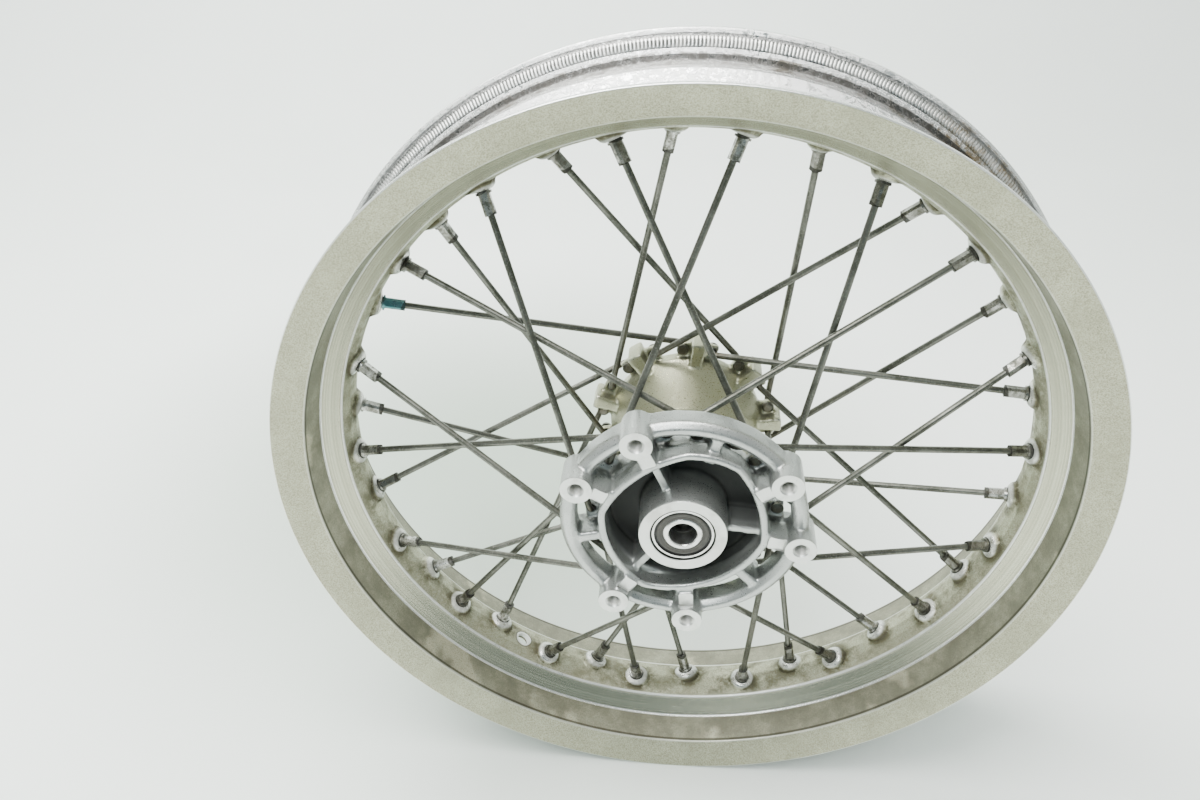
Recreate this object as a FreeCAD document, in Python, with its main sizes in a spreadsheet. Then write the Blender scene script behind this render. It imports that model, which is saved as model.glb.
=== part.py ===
"""Spoked motorcycle wheel: rim, cast hub, thirty-six laced spokes and two sealed ball bearings.

Frame: the origin is the wheel's centre, the axle runs along Y with the brake disc's side facing -Y,
and +Z is up. All lengths are millimetres and all angles degrees, measured from +X towards +Z.
"""
import FreeCAD
import Part
import Sketcher
import math
import os

from FreeCAD import Placement, Rotation, Vector

SIZES = {
    # rim, a 3.00 inch wide section for a 17 inch tyre: every point of the section is (radius, width)
    "lip_radius": 232.3, "lip_half_width": 48.2, "lip_inner_half_width": 44.8,
    "lip_edge_radius": 229.5, "lip_edge_half_width": 43.4,
    "flange_foot_radius": 214.8, "flange_foot_half_width": 40.7,
    "heel_radius": 221.5, "heel_half_width": 38.1,
    "bead_seat_radius": 218.3, "bead_seat_outer": 36.4, "bead_seat_inner_radius": 217.4,
    "bead_seat_inner": 26.0, "hump_radius": 218.2, "hump_half_width": 24.4,
    "shoulder_radius": 211.6, "shoulder_half_width": 22.3,
    "well_top_radius": 214.6, "well_top_half_width": 21.0,
    "well_edge_radius": 201.5, "well_edge_half_width": 13.8,
    "well_floor_edge": 10.8, "well_floor_radius": 204.6,
    "bed_quarter_radius": 198.6, "bed_quarter_half_width": 7.5, "bed_centre_radius": 197.6,
    "well_centre_radius": 202.0, "rim_cut_radius": 236.0,
    "dimple_radius": 11.3, "dimple_pocket_radius": 6.0, "nipple_hole_radius": 3.6,
    "nipple_hole_length": 12.0, "valve_hole_radius": 4.25, "valve_angle": 238.5,
    "valve_hole_length": 16.0,
    # lacing: two rows of nipples, and four families of nine spokes
    "nipple_seat_radius": 205.5, "first_nipple_angle": 3.5,
    "near_row_width": -0.8, "far_row_width": 2.8,
    "spoke_circle_radius": 51.0, "spoke_radius": 1.85, "spoke_bend_radius": 3.2,
    "spoke_head_radius": 3.5, "spoke_head_height": 1.5, "spoke_head_top_radius": 2.3,
    "spoke_head_top_height": 0.8, "spoke_hole_radius": 2.4,
    # nipples, measured along the spoke from the centre of the dimple towards the hub
    "nipple_top": -1.5, "nipple_head_start": 0.0, "nipple_head_end": 3.0, "nipple_cone_end": 4.6,
    "nipple_collar_start": 11.6, "nipple_collar_end": 12.8, "nipple_end": 24.0, "nipple_flats_start": 13.0,
    "nipple_head_radius": 5.0, "nipple_shank_radius": 3.4, "nipple_collar_radius": 4.3,
    "nipple_half_flats": 2.95, "nipple_flat_corner": 1.7, "nipple_bore_radius": 1.95,
    "spoke_end_gap": 1.0,
    # hub, disc side first
    "hub_angle": 14.5, "nose_face": -76.0, "nose_radius": 23.9, "nose_chamfer": 0.8,
    "cavity_floor": -46.0, "cup_outer_radius": 46.0, "cup_inner_radius": 41.6, "cup_front": -60.0,
    "cup_back": -44.0, "waist_front": -30.0, "waist_back": 0.0, "waist_radius": 30.0,
    "bowl_radius": 46.0, "bowl_end": 29.0, "far_plate_front": 32.0, "far_plate_back": 36.5,
    "far_step": 40.0, "far_step_radius": 38.0, "far_nose_radius": 24.0, "far_face": 50.0,
    "bearing_near_face": -75.0, "bearing_far_face": 49.0, "race_shoulder_radius": 14.0,
    "core_neck_front": -60.0, "core_neck_back": -40.0, "core_neck_radius": 18.0,
    "core_front": -36.0, "core_back": -4.0, "core_radius": 25.0,
    "bowl_inner_radius": 41.0, "bowl_inner_end": 27.0, "far_wall_front": 31.0,
    "wall_front": -71.0, "wall_thickness": 4.2, "ledge_front": -60.5, "ledge_back": -58.5,
    "ring_inner_radius": 58.0, "ring_outer_radius": 67.2, "ring_front": -68.5, "ring_back": -54.5,
    "ring_round": 3.2,
    "boss_circle_radius": 63.2, "boss_radius": 8.6, "boss_face": -76.0, "boss_half_spread": 20.0,
    "tapped_hole_diameter": 6.8, "tapped_hole_depth": 18.0, "tapped_hole_mouth": 9.0,
    "boss_hole_radius": 3.4,
    "step_inner_radius": 46.0, "step_half_width": 4.2, "step_front": -72.5, "step_outer_radius": 57.0,
    "rib_half_width": 3.0, "rib_front": -66.5, "rib_inner_radius": 43.0, "rib_outer_radius": 61.0,
    "web_front": -52.5, "web_back": -47.5, "web_inner_radius": 43.5, "web_outer_radius": 54.6,
    "web_half_angle": 14.0,
    "cavity_rib_half_width": 2.2, "cavity_rib_front": -65.0, "cavity_rib_inner": 22.0,
    "cavity_rib_outer": 43.0,
    "lug_outer_radius": 55.0, "lug_inner_radius": 36.0, "lug_half_angle": 13.5,
    "tab_inner_radius": 40.0, "tab_outer_radius": 58.0, "tab_half_angle": 4.5,
    "tab_front": 24.0, "tab_back": 40.5,
    # bearings, 15 x 35 x 11, and the tube that keeps their inner races apart
    "bearing_width": 11.0, "half_bearing": 5.5, "bearing_outer_radius": 17.5, "bearing_bore_radius": 7.5,
    "inner_race_radius": 10.4, "outer_race_radius": 14.5, "ball_circle_radius": 12.5,
    "ball_radius": 2.97, "groove_radius": 3.05, "ball_count": 8, "seal_recess_radius": 15.45,
    "seal_recess_depth": 1.6, "seal_outer_radius": 15.42, "seal_inner_radius": 10.46,
    "seal_thickness": 1.1, "seal_set_back": 0.4, "cage_inner_radius": 11.6,
    "cage_outer_radius": 13.4, "cage_half_width": 3.5, "cage_pocket_radius": 3.05,
    "cage_pocket_depth": 4.0,
    "spacer_outer_radius": 10.4,
}

LACING_COUNT = 9
LACING_STEP = 360.0 / LACING_COUNT

# Each family of nine spokes: how far its first hub hole is turned from the hub's own angle, which nipple
# row it uses, its first nipple's angle, the width at which its elbow turns, the flange face that its head
# sits on, and which way its neck points.
FAMILIES = {
    "near_outer": {"hub_shift": 10.0, "row": "near_row_width", "nipple": 323.5, "corner": -56.0,
                   "seat": "web_back", "neck": 1.0},
    "near_inner": {"hub_shift": 30.0, "row": "near_row_width", "nipple": 103.5, "corner": -45.0,
                   "seat": "web_front", "neck": -1.0},
    "far_inner": {"hub_shift": 20.0, "row": "far_row_width", "nipple": 333.5, "corner": 29.3,
                  "seat": "far_plate_back", "neck": 1.0},
    "far_outer": {"hub_shift": 0.0, "row": "far_row_width", "nipple": 73.5, "corner": 40.0,
                  "seat": "far_plate_front", "neck": -1.0},
}

# The cup's edge on the disc side is five shallow arcs: (angle, inner radius) of the corners, and of a
# point half way along the arc that follows each corner.
WALL_CORNERS = [(90.0, 46.2), (169.0, 42.4), (245.0, 45.2), (350.0, 42.4), (57.0, 47.4)]
WALL_MIDDLES = [(130.0, 40.2), (205.0, 41.4), (302.0, 39.2), (20.0, 41.4), (73.0, 47.0)]

document = FreeCAD.newDocument("spoked_wheel")
sheet = document.addObject("Spreadsheet::Sheet", "Sizes")
nodes = []


def fill_sheet():
    """Give every driving size a row of the sheet and an alias."""
    for row, (alias, value) in enumerate(SIZES.items(), start=1):
        sheet.set(f"A{row}", alias)
        sheet.set(f"B{row}", str(value))
        sheet.setAlias(f"B{row}", alias)
    document.recompute()


def size(term):
    """The value of a term such as "lip_radius" or "ring_front + ring_round", read from the sheet."""
    total, sign = 0.0, 1.0
    for word in term.split():
        if word in ("+", "-"):
            sign = 1.0 if word == "+" else -1.0
        else:
            total += sign * float(sheet.get(word))
    return total


def cell(term):
    """The same term as an expression on the sheet."""
    return " ".join(word if word in ("+", "-") else "Sizes." + word for word in term.split())


def bind(feature, **terms):
    """Tie properties of a feature to the sheet."""
    for name, term in terms.items():
        feature.setExpression(name, cell(term))


def polar(radius, angle, width=0.0):
    """The point at a radius and an angle about the axle, and at a width along it."""
    turn = math.radians(angle)
    return Vector(radius * math.cos(turn), width, radius * math.sin(turn))


def axes_frame(origin, x_axis, y_axis):
    """The placement with its origin at a point and its first two axes along two directions."""
    return Placement(origin, Rotation(x_axis, y_axis, x_axis.cross(y_axis), "XYZ"))


def axis_frame(origin, z_axis):
    """The placement with its Z axis along a direction."""
    return Placement(origin, Rotation(Vector(0, 0, 1), z_axis))


def new_body(label):
    """A body that becomes one node."""
    body = document.addObject("PartDesign::Body", label)
    body.Label = label
    nodes.append(body)
    return body


def origin_feature(body, role):
    """A plane or axis of the body's own origin."""
    return next(item for item in body.Origin.OriginFeatures if item.Role == role)


def new_sketch(body, name, plane="XY_Plane", offset=None):
    """A sketch on one of the body's planes, moved from it by an offset."""
    sketch = body.newObject("Sketcher::SketchObject", name)
    sketch.AttachmentSupport = [(origin_feature(body, plane), "")]
    sketch.MapMode = "FlatFace"
    sketch.AttachmentOffset = offset or Placement()
    return sketch


def face_sketch(body, name, width, angle=0.0):
    """A sketch square to the axle at a width along it, turned by an angle. Its normal points to -Y."""
    offset = Placement(Vector(0, 0, -size(width)), Rotation(Vector(0, 0, 1), angle))
    sketch = new_sketch(body, name, "XZ_Plane", offset)
    sketch.setExpression(".AttachmentOffset.Base.z", f"0 - ({cell(width)})")
    return sketch


def hold_point(sketch, line, x_term, y_term):
    """Hold a line's first point at sheet sizes. A term that is None puts it on the axis."""
    for kind, term, axis in (("DistanceX", x_term, -2), ("DistanceY", y_term, -1)):
        if term is None:
            sketch.addConstraint(Sketcher.Constraint("PointOnObject", line, 1, axis))
        else:
            rule = Sketcher.Constraint(kind, -1, 1, line, 1, size(term))
            index = sketch.addConstraint(rule)
            sketch.setExpression(f"Constraints[{index}]", cell(term))


def outline(sketch, corners):
    """A closed outline of straight lines through corners given as pairs of terms."""
    points = [Vector(size(x) if x else 0.0, size(y) if y else 0.0, 0) for x, y in corners]
    first = sketch.GeometryCount
    count = len(points)
    for index, point in enumerate(points):
        sketch.addGeometry(Part.LineSegment(point, points[(index + 1) % count]), False)
    for index in range(count):
        follower = first + (index + 1) % count
        sketch.addConstraint(Sketcher.Constraint("Coincident", first + index, 2, follower, 1))
    for index, (x_term, y_term) in enumerate(corners):
        hold_point(sketch, first + index, x_term, y_term)


def circle(sketch, radius, x_term=None):
    """A circle on the sketch's X axis, or at its origin."""
    centre = Vector(size(x_term) if x_term else 0.0, 0, 0)
    index = sketch.addGeometry(Part.Circle(centre, Vector(0, 0, 1), size(radius)), False)
    rule = sketch.addConstraint(Sketcher.Constraint("Radius", index, size(radius)))
    sketch.setExpression(f"Constraints[{rule}]", cell(radius))
    if x_term:
        sketch.addConstraint(Sketcher.Constraint("PointOnObject", index, 3, -1))
        rule = sketch.addConstraint(Sketcher.Constraint("DistanceX", -1, 1, index, 3, size(x_term)))
        sketch.setExpression(f"Constraints[{rule}]", cell(x_term))
    else:
        sketch.addConstraint(Sketcher.Constraint("Coincident", index, 3, -1, 1))


def sector(sketch, inner, outer, half_angle):
    """A ring sector about the sketch's origin, centred on its X axis."""
    half = math.radians(size(half_angle))
    ends = {}
    for name, radius in (("inner", size(inner)), ("outer", size(outer))):
        ends[name] = [Vector(radius * math.cos(turn), radius * math.sin(turn), 0)
                      for turn in (-half, half)]
    flat = Vector(0, 0, 1)
    arcs = []
    for name, term in (("inner", inner), ("outer", outer)):
        arc = Part.ArcOfCircle(Part.Circle(Vector(), flat, size(term)), -half, half)
        arcs.append(sketch.addGeometry(arc, False))
    low = sketch.addGeometry(Part.LineSegment(ends["inner"][0], ends["outer"][0]), False)
    high = sketch.addGeometry(Part.LineSegment(ends["inner"][1], ends["outer"][1]), False)
    for arc, term in zip(arcs, (inner, outer)):
        sketch.addConstraint(Sketcher.Constraint("Coincident", arc, 3, -1, 1))
        rule = sketch.addConstraint(Sketcher.Constraint("Radius", arc, size(term)))
        sketch.setExpression(f"Constraints[{rule}]", cell(term))
    for line, end in ((low, 1), (high, 2)):
        sketch.addConstraint(Sketcher.Constraint("Coincident", line, 1, arcs[0], end))
        sketch.addConstraint(Sketcher.Constraint("Coincident", line, 2, arcs[1], end))
        sketch.addConstraint(Sketcher.Constraint("PointOnObject", -1, 1, line))
    for line, sign in ((low, "0 - "), (high, "")):
        value = math.radians(size(half_angle)) * (-1 if sign else 1)
        rule = sketch.addConstraint(Sketcher.Constraint("Angle", line, value))
        sketch.setExpression(f"Constraints[{rule}]", f"({sign}{cell(half_angle)}) * 1 deg")


def revolve(body, sketch, name, kind="PartDesign::Revolution", axis="V_Axis"):
    """A full turn of a sketch about one of its axes."""
    feature = body.newObject(kind, name)
    feature.Profile = sketch
    feature.ReferenceAxis = (sketch, [axis])
    feature.Angle = 360.0
    sketch.Visibility = False
    return feature


def pad(body, sketch, name, length):
    """Material from the sketch along its normal, for a length given as a term."""
    feature = body.newObject("PartDesign::Pad", name)
    feature.Profile = sketch
    feature.Length = size(length)
    bind(feature, Length=length)
    return feature


def pocket(body, sketch, name, length):
    """A cut from the sketch against its normal, for a length given as a term."""
    feature = body.newObject("PartDesign::Pocket", name)
    feature.Profile = sketch
    feature.Length = size(length)
    bind(feature, Length=length)
    return feature


def pattern(body, feature, count):
    """Repeat a feature evenly about the axle."""
    repeat = body.newObject("PartDesign::PolarPattern", feature.Name + "_round")
    repeat.Originals = [feature]
    repeat.Axis = (origin_feature(body, "Y_Axis"), [""])
    repeat.Angle = 360.0
    repeat.Occurrences = count
    body.Tip = repeat
    return repeat


def hub_hole_angle(family):
    """Where a family's first spoke passes through the hub."""
    return size("hub_angle") + family["hub_shift"]


def spoke_line(family):
    """A family's first spoke: the corner of its elbow, the centre of its dimple, and its direction."""
    corner = polar(size("spoke_circle_radius"), hub_hole_angle(family), family["corner"])
    seat = polar(size("nipple_seat_radius"), family["nipple"], size(family["row"]))
    return corner, seat, (seat - corner).normalize()


# ---------------------------------------------------------------- rim

RIM_OUTSIDE = [
    ("lip_radius", "lip_half_width"), ("flange_foot_radius", "flange_foot_half_width"),
    ("shoulder_radius", "shoulder_half_width"), ("well_edge_radius", "well_edge_half_width"),
    ("bed_quarter_radius", "bed_quarter_half_width"),
]
RIM_CHANNEL = [
    ("rim_cut_radius", "lip_inner_half_width"), ("lip_radius", "lip_inner_half_width"),
    ("lip_edge_radius", "lip_edge_half_width"), ("heel_radius", "heel_half_width"),
    ("bead_seat_radius", "bead_seat_outer"), ("bead_seat_inner_radius", "bead_seat_inner"),
    ("hump_radius", "hump_half_width"), ("well_top_radius", "well_top_half_width"),
    ("well_floor_radius", "well_floor_edge"),
]


def mirrored(half, centre_radius):
    """A section's half, its centre point if it has one, and the half mirrored across the wheel."""
    centre = [(centre_radius, None)] if centre_radius else []
    return half + centre + [(radius, "- " + width) for radius, width in reversed(half)]


def add_ball(body, kind, name, radius, angle, row):
    """A sphere centred on a dimple of the rim."""
    ball = body.newObject(kind, name)
    bind(ball, Radius=radius)
    ball.Placement = Placement(polar(size("nipple_seat_radius"), angle, size(row)), Rotation())
    return ball


def make_rim():
    """The rim: a revolved section with a dimple and a slanting hole for every nipple, and a valve hole."""
    body = new_body("rim")
    section = new_sketch(body, "RimSection")
    outline(section, mirrored(RIM_OUTSIDE, "bed_centre_radius"))
    revolve(body, section, "RimRing")
    rows = (("Near", "near_row_width", 0.0), ("Far", "far_row_width", LACING_STEP / 4))
    for name, row, shift in rows:
        angle = size("first_nipple_angle") + shift
        ball = add_ball(body, "PartDesign::AdditiveSphere", name + "Dimple", "dimple_radius",
                        angle, row)
        pattern(body, ball, 2 * LACING_COUNT)
    channel = new_sketch(body, "ChannelSection")
    outline(channel, mirrored(RIM_CHANNEL, "well_centre_radius"))
    revolve(body, channel, "TyreChannel", "PartDesign::Groove")
    for name, row, shift in rows:
        angle = size("first_nipple_angle") + shift
        pocket_ball = add_ball(body, "PartDesign::SubtractiveSphere", name + "Pocket",
                               "dimple_pocket_radius", angle, row)
        pattern(body, pocket_ball, 2 * LACING_COUNT)
    for name, family in FAMILIES.items():
        _, seat, direction = spoke_line(family)
        hole = body.newObject("PartDesign::SubtractiveCylinder", "Hole_" + name)
        bind(hole, Radius="nipple_hole_radius", Height="nipple_hole_length")
        hole.Placement = axis_frame(seat, -direction)
        pattern(body, hole, LACING_COUNT)
    valve = body.newObject("PartDesign::SubtractiveCylinder", "ValveHole")
    bind(valve, Radius="valve_hole_radius", Height="valve_hole_length")
    inward = -polar(1.0, size("valve_angle"))
    valve.Placement = axis_frame(inward * -size("nipple_seat_radius"), inward)
    body.Tip = valve


# ---------------------------------------------------------------- hub

HUB_SECTION = [
    ("bearing_outer_radius", "nose_face"), ("nose_radius - nose_chamfer", "nose_face"),
    ("nose_radius", "nose_face + nose_chamfer"), ("nose_radius", "cavity_floor"),
    ("cup_inner_radius", "cavity_floor"), ("cup_inner_radius", "cup_front"),
    ("cup_outer_radius", "cup_front"), ("cup_outer_radius", "cup_back"),
    ("waist_radius", "waist_front"), ("waist_radius", "waist_back"), ("bowl_radius", "bowl_end"),
    ("bowl_radius", "far_plate_back"), ("far_step_radius", "far_step"),
    ("far_nose_radius", "far_step"), ("far_nose_radius", "far_face"),
    ("bearing_outer_radius", "far_face"), ("bearing_outer_radius", "bearing_far_face - bearing_width"),
    ("race_shoulder_radius", "bearing_far_face - bearing_width"),
    ("race_shoulder_radius", "far_wall_front"), ("bowl_inner_radius", "bowl_inner_end"),
    ("core_radius", "core_back"), ("core_radius", "core_front"), ("core_neck_radius", "core_neck_back"),
    ("core_neck_radius", "core_neck_front"), ("race_shoulder_radius", "core_neck_front"),
    ("race_shoulder_radius", "bearing_near_face + bearing_width"),
    ("bearing_outer_radius", "bearing_near_face + bearing_width"),
]
RING_SECTION = [
    ("ring_inner_radius", "ring_back"), ("ring_outer_radius", "ring_back"),
    ("ring_outer_radius", "ring_front + ring_round"), ("ring_outer_radius - ring_round", "ring_front"),
    ("ring_inner_radius + ring_round", "ring_front"), ("ring_inner_radius", "ring_front + ring_round"),
]


def box_outline(sketch, inner, outer, half_width):
    """A rectangle along the sketch's X axis from one radius to another."""
    outline(sketch, [(inner, "- " + half_width), (outer, "- " + half_width), (outer, half_width),
                     (inner, half_width)])


def wall_arcs(sketch, growth):
    """The cup's edge as five arcs, grown outwards by an amount."""
    corners = [polar(radius + growth, angle) for angle, radius in WALL_CORNERS]
    middles = [polar(radius + growth, angle) for angle, radius in WALL_MIDDLES]
    order = sorted(range(len(corners)), key=lambda index: WALL_CORNERS[index][0])
    flat = [Vector(point.x, point.z, 0) for point in corners]
    mid_flat = [Vector(point.x, point.z, 0) for point in middles]
    first = sketch.GeometryCount
    for step, index in enumerate(order):
        after = order[(step + 1) % len(order)]
        sketch.addGeometry(Part.Arc(flat[index], mid_flat[index], flat[after]), False)
        sketch.addConstraint(Sketcher.Constraint("Block", first + step))
    return sketch


def add_disc_mount(body, name, angle):
    """Three disc bosses a third of a turn apart, each with a machined step and a tapped hole."""
    boss = face_sketch(body, name + "Boss", "ring_back", angle)
    circle(boss, "boss_radius", "boss_circle_radius")
    pattern(body, pad(body, boss, name + "BossPad", "ring_back - boss_face"), 3)
    step = face_sketch(body, name + "Step", "ledge_back", angle)
    box_outline(step, "step_inner_radius", "step_outer_radius", "step_half_width")
    pattern(body, pad(body, step, name + "StepPad", "ledge_back - step_front"), 3)


def add_tapped_holes(body, name, angle):
    """The tapped holes of three disc bosses, with a countersunk mouth."""
    sketch = face_sketch(body, name + "Thread", "boss_face", angle)
    circle(sketch, "boss_hole_radius", "boss_circle_radius")
    document.recompute()
    hole = body.newObject("PartDesign::Hole", name + "Tapped")
    hole.Profile = sketch
    hole.DepthType = "Dimension"
    hole.HoleCutType = "Countersink"
    bind(hole, Diameter="tapped_hole_diameter", Depth="tapped_hole_depth",
         HoleCutDiameter="tapped_hole_mouth")
    document.recompute()
    pattern(body, hole, 3)


def make_hub():
    """The cast hub: nose, cup, waist and bowl in one section, and everything that repeats round them."""
    body = new_body("hub")
    section = new_sketch(body, "HubSection")
    outline(section, HUB_SECTION)
    revolve(body, section, "HubCore")
    hub_angle = size("hub_angle")
    quarter = LACING_STEP / 2

    web = face_sketch(body, "Web", "web_back", hub_angle + quarter)
    sector(web, "web_inner_radius", "web_outer_radius", "web_half_angle")
    pattern(body, pad(body, web, "WebPad", "web_back - web_front"), LACING_COUNT)
    rib = face_sketch(body, "Rib", "web_back", hub_angle + quarter)
    box_outline(rib, "rib_inner_radius", "rib_outer_radius", "rib_half_width")
    pattern(body, pad(body, rib, "RibPad", "web_back - rib_front"), LACING_COUNT)
    ring = new_sketch(body, "RingSection")
    outline(ring, RING_SECTION)
    revolve(body, ring, "DiscRing")

    ledge = face_sketch(body, "Ledge", "ledge_back")
    circle(ledge, "cup_inner_radius")
    wall_arcs(ledge, size("wall_thickness"))
    pad(body, ledge, "LedgePad", "ledge_back - ledge_front")
    wall = face_sketch(body, "Wall", "ledge_back")
    wall_arcs(wall, 0.0)
    wall_arcs(wall, size("wall_thickness"))
    pad(body, wall, "WallPad", "ledge_back - wall_front")
    brace = face_sketch(body, "CavityRib", "cavity_floor", hub_angle - quarter)
    box_outline(brace, "cavity_rib_inner", "cavity_rib_outer", "cavity_rib_half_width")
    pattern(body, pad(body, brace, "CavityRibPad", "cavity_floor - cavity_rib_front"), 3)

    spread = size("boss_half_spread")
    sides = (("Left", hub_angle + spread), ("Right", hub_angle - spread))
    for name, angle in sides:
        add_disc_mount(body, name, angle)
    lug = face_sketch(body, "Lug", "far_plate_back", hub_angle - quarter / 2)
    sector(lug, "lug_inner_radius", "lug_outer_radius", "lug_half_angle")
    pattern(body, pad(body, lug, "LugPad", "far_plate_back - far_plate_front"), LACING_COUNT)
    tab = face_sketch(body, "Tab", "tab_back", hub_angle - quarter / 2)
    sector(tab, "tab_inner_radius", "tab_outer_radius", "tab_half_angle")
    pattern(body, pad(body, tab, "TabPad", "tab_back - tab_front"), LACING_COUNT)

    for name, family in FAMILIES.items():
        near = name.startswith("near")
        front = "web_front" if near else "far_plate_front"
        back = "web_back" if near else "far_plate_back"
        holes = face_sketch(body, "SpokeHoles_" + name, front, hub_hole_angle(family))
        circle(holes, "spoke_hole_radius", "spoke_circle_radius")
        pattern(body, pocket(body, holes, "SpokeHole_" + name, back + " - " + front), LACING_COUNT)
    for name, angle in sides:
        add_tapped_holes(body, name, angle)


# ---------------------------------------------------------------- spokes and nipples

def make_spoke(name, family, number):
    """One spoke: a headed wire that bends through the flange and runs straight to its nipple."""
    corner, seat, run = spoke_line(family)
    neck = Vector(0, family["neck"], 0)
    along = (run - neck * run.dot(neck)).normalize()
    plane = axes_frame(corner, along, neck)
    body = new_body(f"spoke_{name}_{number + 1}")
    neck_length = abs(size(family["seat"]) - family["corner"])
    run_length = (seat - corner).Length - size("spoke_end_gap")
    bend = size("spoke_bend_radius")
    half = math.acos(run.dot(neck)) / 2
    reach = bend / math.tan(half)
    run_2d = Vector(run.dot(along), run.dot(neck), 0)
    middle_2d = (run_2d + Vector(0, 1, 0)).normalize()
    start = Vector(0, neck_length, 0)
    neck_end = Vector(0, reach, 0)
    run_start = run_2d * reach
    bend_middle = middle_2d * (bend / math.sin(half) - bend)

    path = new_sketch(body, f"Path_{name}_{number}", offset=plane)
    path.addGeometry(Part.LineSegment(start, neck_end), False)
    path.addGeometry(Part.Arc(neck_end, bend_middle, run_start), False)
    path.addGeometry(Part.LineSegment(run_start, run_2d * run_length), False)
    for index in range(3):
        path.addConstraint(Sketcher.Constraint("Block", index))
    head_seat = corner + neck * neck_length
    profile = new_sketch(body, f"Wire_{name}_{number}", offset=axis_frame(head_seat, -neck))
    circle(profile, "spoke_radius")
    wire = body.newObject("PartDesign::AdditivePipe", f"WirePipe_{name}_{number}")
    wire.Profile = profile
    wire.Spine = (path, ["Edge1", "Edge2", "Edge3"])
    head = body.newObject("PartDesign::AdditiveCylinder", f"Head_{name}_{number}")
    bind(head, Radius="spoke_head_radius", Height="spoke_head_height")
    head.Placement = axis_frame(head_seat, neck)
    top = body.newObject("PartDesign::AdditiveCone", f"HeadTop_{name}_{number}")
    bind(top, Radius1="spoke_head_radius", Radius2="spoke_head_top_radius",
         Height="spoke_head_top_height")
    top.Placement = axis_frame(head_seat + neck * size("spoke_head_height"), neck)
    body.Tip = top
    body.Placement = Placement(Vector(), Rotation(Vector(0, 1, 0), -number * LACING_STEP))


NIPPLE_SECTION = [
    ("nipple_top", None), ("nipple_top", "nipple_shank_radius"),
    ("nipple_head_start", "nipple_head_radius"),
    ("nipple_head_end", "nipple_head_radius"), ("nipple_cone_end", "nipple_shank_radius"),
    ("nipple_collar_start", "nipple_shank_radius"), ("nipple_collar_start", "nipple_collar_radius"),
    ("nipple_collar_end", "nipple_collar_radius"), ("nipple_collar_end", "nipple_shank_radius"),
    ("nipple_flats_start", "nipple_shank_radius"), ("nipple_flats_start", None),
]
NIPPLE_FLATS = [
    ("nipple_half_flats", "nipple_flat_corner"), ("nipple_flat_corner", "nipple_half_flats"),
    ("- nipple_flat_corner", "nipple_half_flats"), ("- nipple_half_flats", "nipple_flat_corner"),
    ("- nipple_half_flats", "- nipple_flat_corner"), ("- nipple_flat_corner", "- nipple_half_flats"),
    ("nipple_flat_corner", "- nipple_half_flats"), ("nipple_half_flats", "- nipple_flat_corner"),
]


def make_nipples(name, family):
    """A family's nine nipples: a headed sleeve with flats for a spoke key, on each spoke's end."""
    _, seat, run = spoke_line(family)
    inward = -run
    side = inward.cross(Vector(0, 1, 0)).normalize()
    body = new_body(f"nipples_{name}")
    section = new_sketch(body, "Section_" + name, offset=axes_frame(seat, inward, side))
    outline(section, NIPPLE_SECTION)
    turned = revolve(body, section, "Turned_" + name, axis="H_Axis")
    flats_start = seat + inward * size("nipple_flats_start")
    flats = new_sketch(body, "Flats_" + name, offset=axis_frame(flats_start, inward))
    outline(flats, NIPPLE_FLATS)
    key = pad(body, flats, "Key_" + name, "nipple_end - nipple_flats_start")
    bore = body.newObject("PartDesign::SubtractiveCylinder", "Bore_" + name)
    bind(bore, Radius="nipple_bore_radius", Height="nipple_end - nipple_top")
    bore.Placement = axis_frame(seat + inward * size("nipple_top"), inward)
    repeat = body.newObject("PartDesign::PolarPattern", "Round_" + name)
    repeat.Originals = [turned, key, bore]
    repeat.Axis = (origin_feature(body, "Y_Axis"), [""])
    repeat.Angle = 360.0
    repeat.Occurrences = LACING_COUNT
    body.Tip = repeat


# ---------------------------------------------------------------- bearings

def ring_body(label, inner, outer, start, end):
    """A plain ring about the axle."""
    body = new_body(label)
    section = new_sketch(body, label + "_section")
    outline(section, [(inner, start), (outer, start), (outer, end), (inner, end)])
    return body, revolve(body, section, label + "_ring")


def add_groove(body, name, radius, middle):
    """A round track for the balls."""
    track = body.newObject("PartDesign::SubtractiveTorus", name)
    bind(track, Radius1="ball_circle_radius", Radius2=radius)
    track.Placement = axis_frame(Vector(0, middle, 0), Vector(0, 1, 0))
    body.Tip = track


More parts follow.
